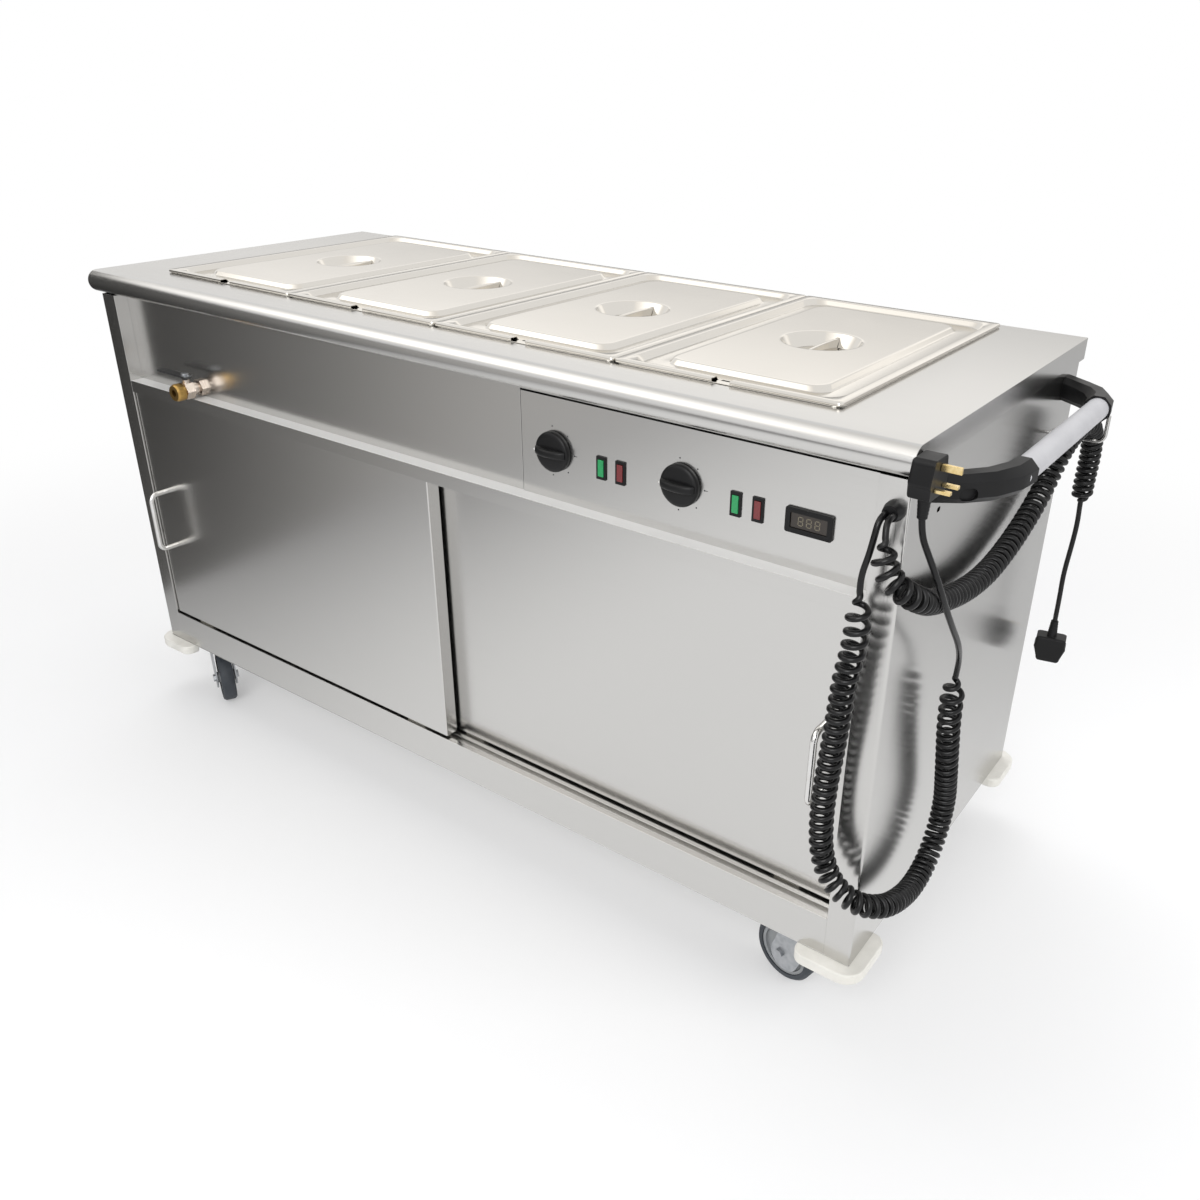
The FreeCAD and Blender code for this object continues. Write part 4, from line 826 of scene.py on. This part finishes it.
def along_route(points):
    """Close points read from the smooth line of a route."""
    guide = cable_curve("guide", points, 3)
    guide.data.resolution_u = 24
    bpy.context.view_layer.update()
    seen = guide.evaluated_get(bpy.context.evaluated_depsgraph_get())
    mesh = bpy.data.meshes.new_from_object(seen)
    line = [v.co.copy() for v in mesh.vertices]
    bpy.data.objects.remove(guide)
    bpy.data.meshes.remove(mesh)
    return line


def curly_cord(name, route, first, last, turns, loose_start, loose_end, packed, material):
    """One cable: lead, curls between two route points, lead; returns it and its length.

    loose_start and loose_end open the turns at either end.  Packed gives two shares of
    the coil between which its turns lie closer.
    """
    line = along_route([place(*p) for p in route])
    reach = [0.0]
    for a, b in zip(line, line[1:]):
        reach.append(reach[-1] + (b - a).length)

    def at(s):
        low = 0
        high = len(reach) - 1
        while high - low > 1:
            mid = (low + high) // 2
            if reach[mid] <= s:
                low = mid
            else:
                high = mid
        part = (s - reach[low]) / max(reach[high] - reach[low], 1e-9)
        return line[low].lerp(line[high], part), (line[high] - line[low]).normalized()

    def nearest(point):
        target = place(*point)
        return reach[min(range(len(line)), key=lambda i: (line[i] - target).length)]

    begin = nearest(route[first])
    end = nearest(route[last])
    points = []
    s = 0.0
    while s < begin:
        points.append(at(s)[0])
        s += LEAD_STEP * MM
    side = Vector((0.31, 0.93, 0.2))
    count = turns * CURL_STEPS
    weights = []
    for i in range(count):
        share = (i + 0.5) / count
        loose = (1 + loose_start * math.exp(-share * turns / 4)
                 + loose_end * math.exp(-(1 - share) * turns / 3))
        if packed[0] < share < packed[1]:
            loose *= PACKED_PITCH
        weights.append(loose)
    total = sum(weights)
    run = begin
    swell = SWELL_TURNS * CURL_STEPS
    for i in range(count + 1):
        place_on, way = at(run)
        side = (side - way * side.dot(way)).normalized()
        up = way.cross(side)
        grow = min(1.0, i / swell, (count - i) / swell)
        curl = CURL_R * MM * grow * grow * (3 - 2 * grow)
        angle = 2 * math.pi * i / CURL_STEPS
        points.append(place_on + side * curl * math.cos(angle) + up * curl * math.sin(angle))
        if i < count:
            run += (end - begin) * weights[i] / total
    s = end + LEAD_STEP * MM
    while s < reach[-1] - 3 * MM:
        points.append(at(s)[0])
        s += LEAD_STEP * MM
    points.append(line[-1])
    cord = cable_curve(name, points, 3, material)
    cord.data.resolution_u = 2
    cord.data.bevel_depth = CORD_D / 2 * MM
    cord.data.bevel_resolution = 3
    cord.data.use_fill_caps = True
    length = sum((b - a).length for a, b in zip(points, points[1:]))
    return cord, length


# Extruded PVC: black and smooth, with long glossy lights along each curl.
pvc = moulded("black_pvc_sheath", "#0A0A0B", "#111112", 0.27, 2.5, 0.03, Specular_IOR_Level=0.32)
# Brass pins, smooth and bright, with faint uneven patches.
pin_brass = metal_finish("bright_pin_brass", "#E9D3A0", "#DDC182", 0.2, 6, 0.5)


def relief_ribs(name, pitch):
    """Geometry nodes: the strain relief's ribs, discs that widen towards the plug."""
    tree = bpy.data.node_groups.new(name, "GeometryNodeTree")
    tree.interface.new_socket("Geometry", in_out="INPUT", socket_type="NodeSocketGeometry")
    tree.interface.new_socket("Ribs", in_out="INPUT", socket_type="NodeSocketInt").default_value = 6
    for label, value in (("Pitch", pitch * MM), ("First Radius", 5.8 * MM), ("Growth", 0.32 * MM),
                         ("Thickness", 1.9 * MM)):
        tree.interface.new_socket(label, in_out="INPUT", socket_type="NodeSocketFloat").default_value = value
    tree.interface.new_socket("Geometry", in_out="OUTPUT", socket_type="NodeSocketGeometry")
    given = node(tree, "NodeGroupInput")
    step = node(tree, "ShaderNodeCombineXYZ", {}, {"Z": given.outputs["Pitch"]})
    places = node(tree, "GeometryNodeMeshLine", {},
                  {"Count": given.outputs["Ribs"], "Offset": step.outputs[0]})
    number = node(tree, "GeometryNodeInputIndex")
    radius = node(tree, "ShaderNodeMath", {"operation": "MULTIPLY_ADD"},
                  {0: number.outputs[0], 1: given.outputs["Growth"], 2: given.outputs["First Radius"]})
    wide = node(tree, "ShaderNodeCombineXYZ", {"Z": 1.0}, {"X": radius.outputs[0], "Y": radius.outputs[0]})
    disc = node(tree, "GeometryNodeMeshCylinder", {"Vertices": 28, "Radius": 1.0},
                {"Depth": given.outputs["Thickness"]})
    row = node(tree, "GeometryNodeInstanceOnPoints", {},
               {"Points": places.outputs[0], "Instance": disc.outputs[0], "Scale": wide.outputs[0]})
    ribs = node(tree, "GeometryNodeInstanceOnPoints", {},
                {"Points": given.outputs["Geometry"], "Instance": row.outputs[0]})
    whole = node(tree, "GeometryNodeRealizeInstances", {}, {"Geometry": ribs.outputs[0]})
    made_of = node(tree, "GeometryNodeSetMaterial", {"Material": black_plastic},
                   {"Geometry": whole.outputs[0]})
    node(tree, "NodeGroupOutput", {}, {"Geometry": made_of.outputs[0]})
    return tree


softened("cord_gland", black_plastic, edge=0.8 * MM)
softened("cord_hook", bright_rod)
plugs = [softened(f"plug_{i}", black_plastic, "root", edge=0.8 * MM) for i in (1, 2)]
# The shells narrow away from the cable: 799.3 and 825.3 mm are where the pins leave them.
PIN_FACES = (799.3, 825.3)
WIDE, NARROW = 1.55, 0.76
for plug, pin_face, middle_u, middle_v, cable_side in (
        (plugs[0], PIN_FACES[0], -9, 830, -1), (plugs[1], PIN_FACES[1], 588, 366, 1)):
    for point in plug.data.vertices:
        across = (point.co.y - post_y) / MM - middle_u
        out = (point.co.z / MM - middle_v) * -cable_side
        if (point.co.x - middle_x) / MM < pin_face and abs(across) > 8:
            wider = WIDE if out < -14 else NARROW if out > 12 else 1.0
            point.co.y = post_y + (middle_u + across * wider) * MM
recoat(plugs[0], pin_brass, lambda x, y, z, n: x > PIN_FACES[0])
recoat(plugs[1], pin_brass, lambda x, y, z, n: x > PIN_FACES[1])
ribs_1 = grown("plug_1_ribs", relief_ribs("ribs_upward", 4.2), [place(786, -9, 783)],
               "root", "plug_rubber")
ribs_2 = grown("plug_2_ribs", relief_ribs("ribs_downward", -4.2), [place(812, 588, 413)],
               "root", "plug_rubber")
# The second plug has turned on its cable, so that its back faces the front of the trolley.
turn = Matrix.Translation(place(812, 588, 0)) @ Matrix.Rotation(math.radians(102), 4, "Z")
plugs[1].data.transform(turn @ Matrix.Translation(-place(812, 588, 0)))
cord_1, length_1 = curly_cord("curly_cord_1", CORD_1, 5, 26, 78, 0.7, 0.6, (0.5, 0.85), pvc)
cord_2, length_2 = curly_cord("curly_cord_2", CORD_2, 2, 22, 72, 0.35, 0.1, (0.68, 1.0), pvc)
print("cord lengths", round(length_1, 3), round(length_2, 3))
for i, (cord, route, length) in enumerate(((cord_1, CORD_1, length_1), (cord_2, CORD_2, length_2)), 1):
    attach(cord, "root")
    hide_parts(f"cord_{i}_coil", f"cord_{i}_leads")
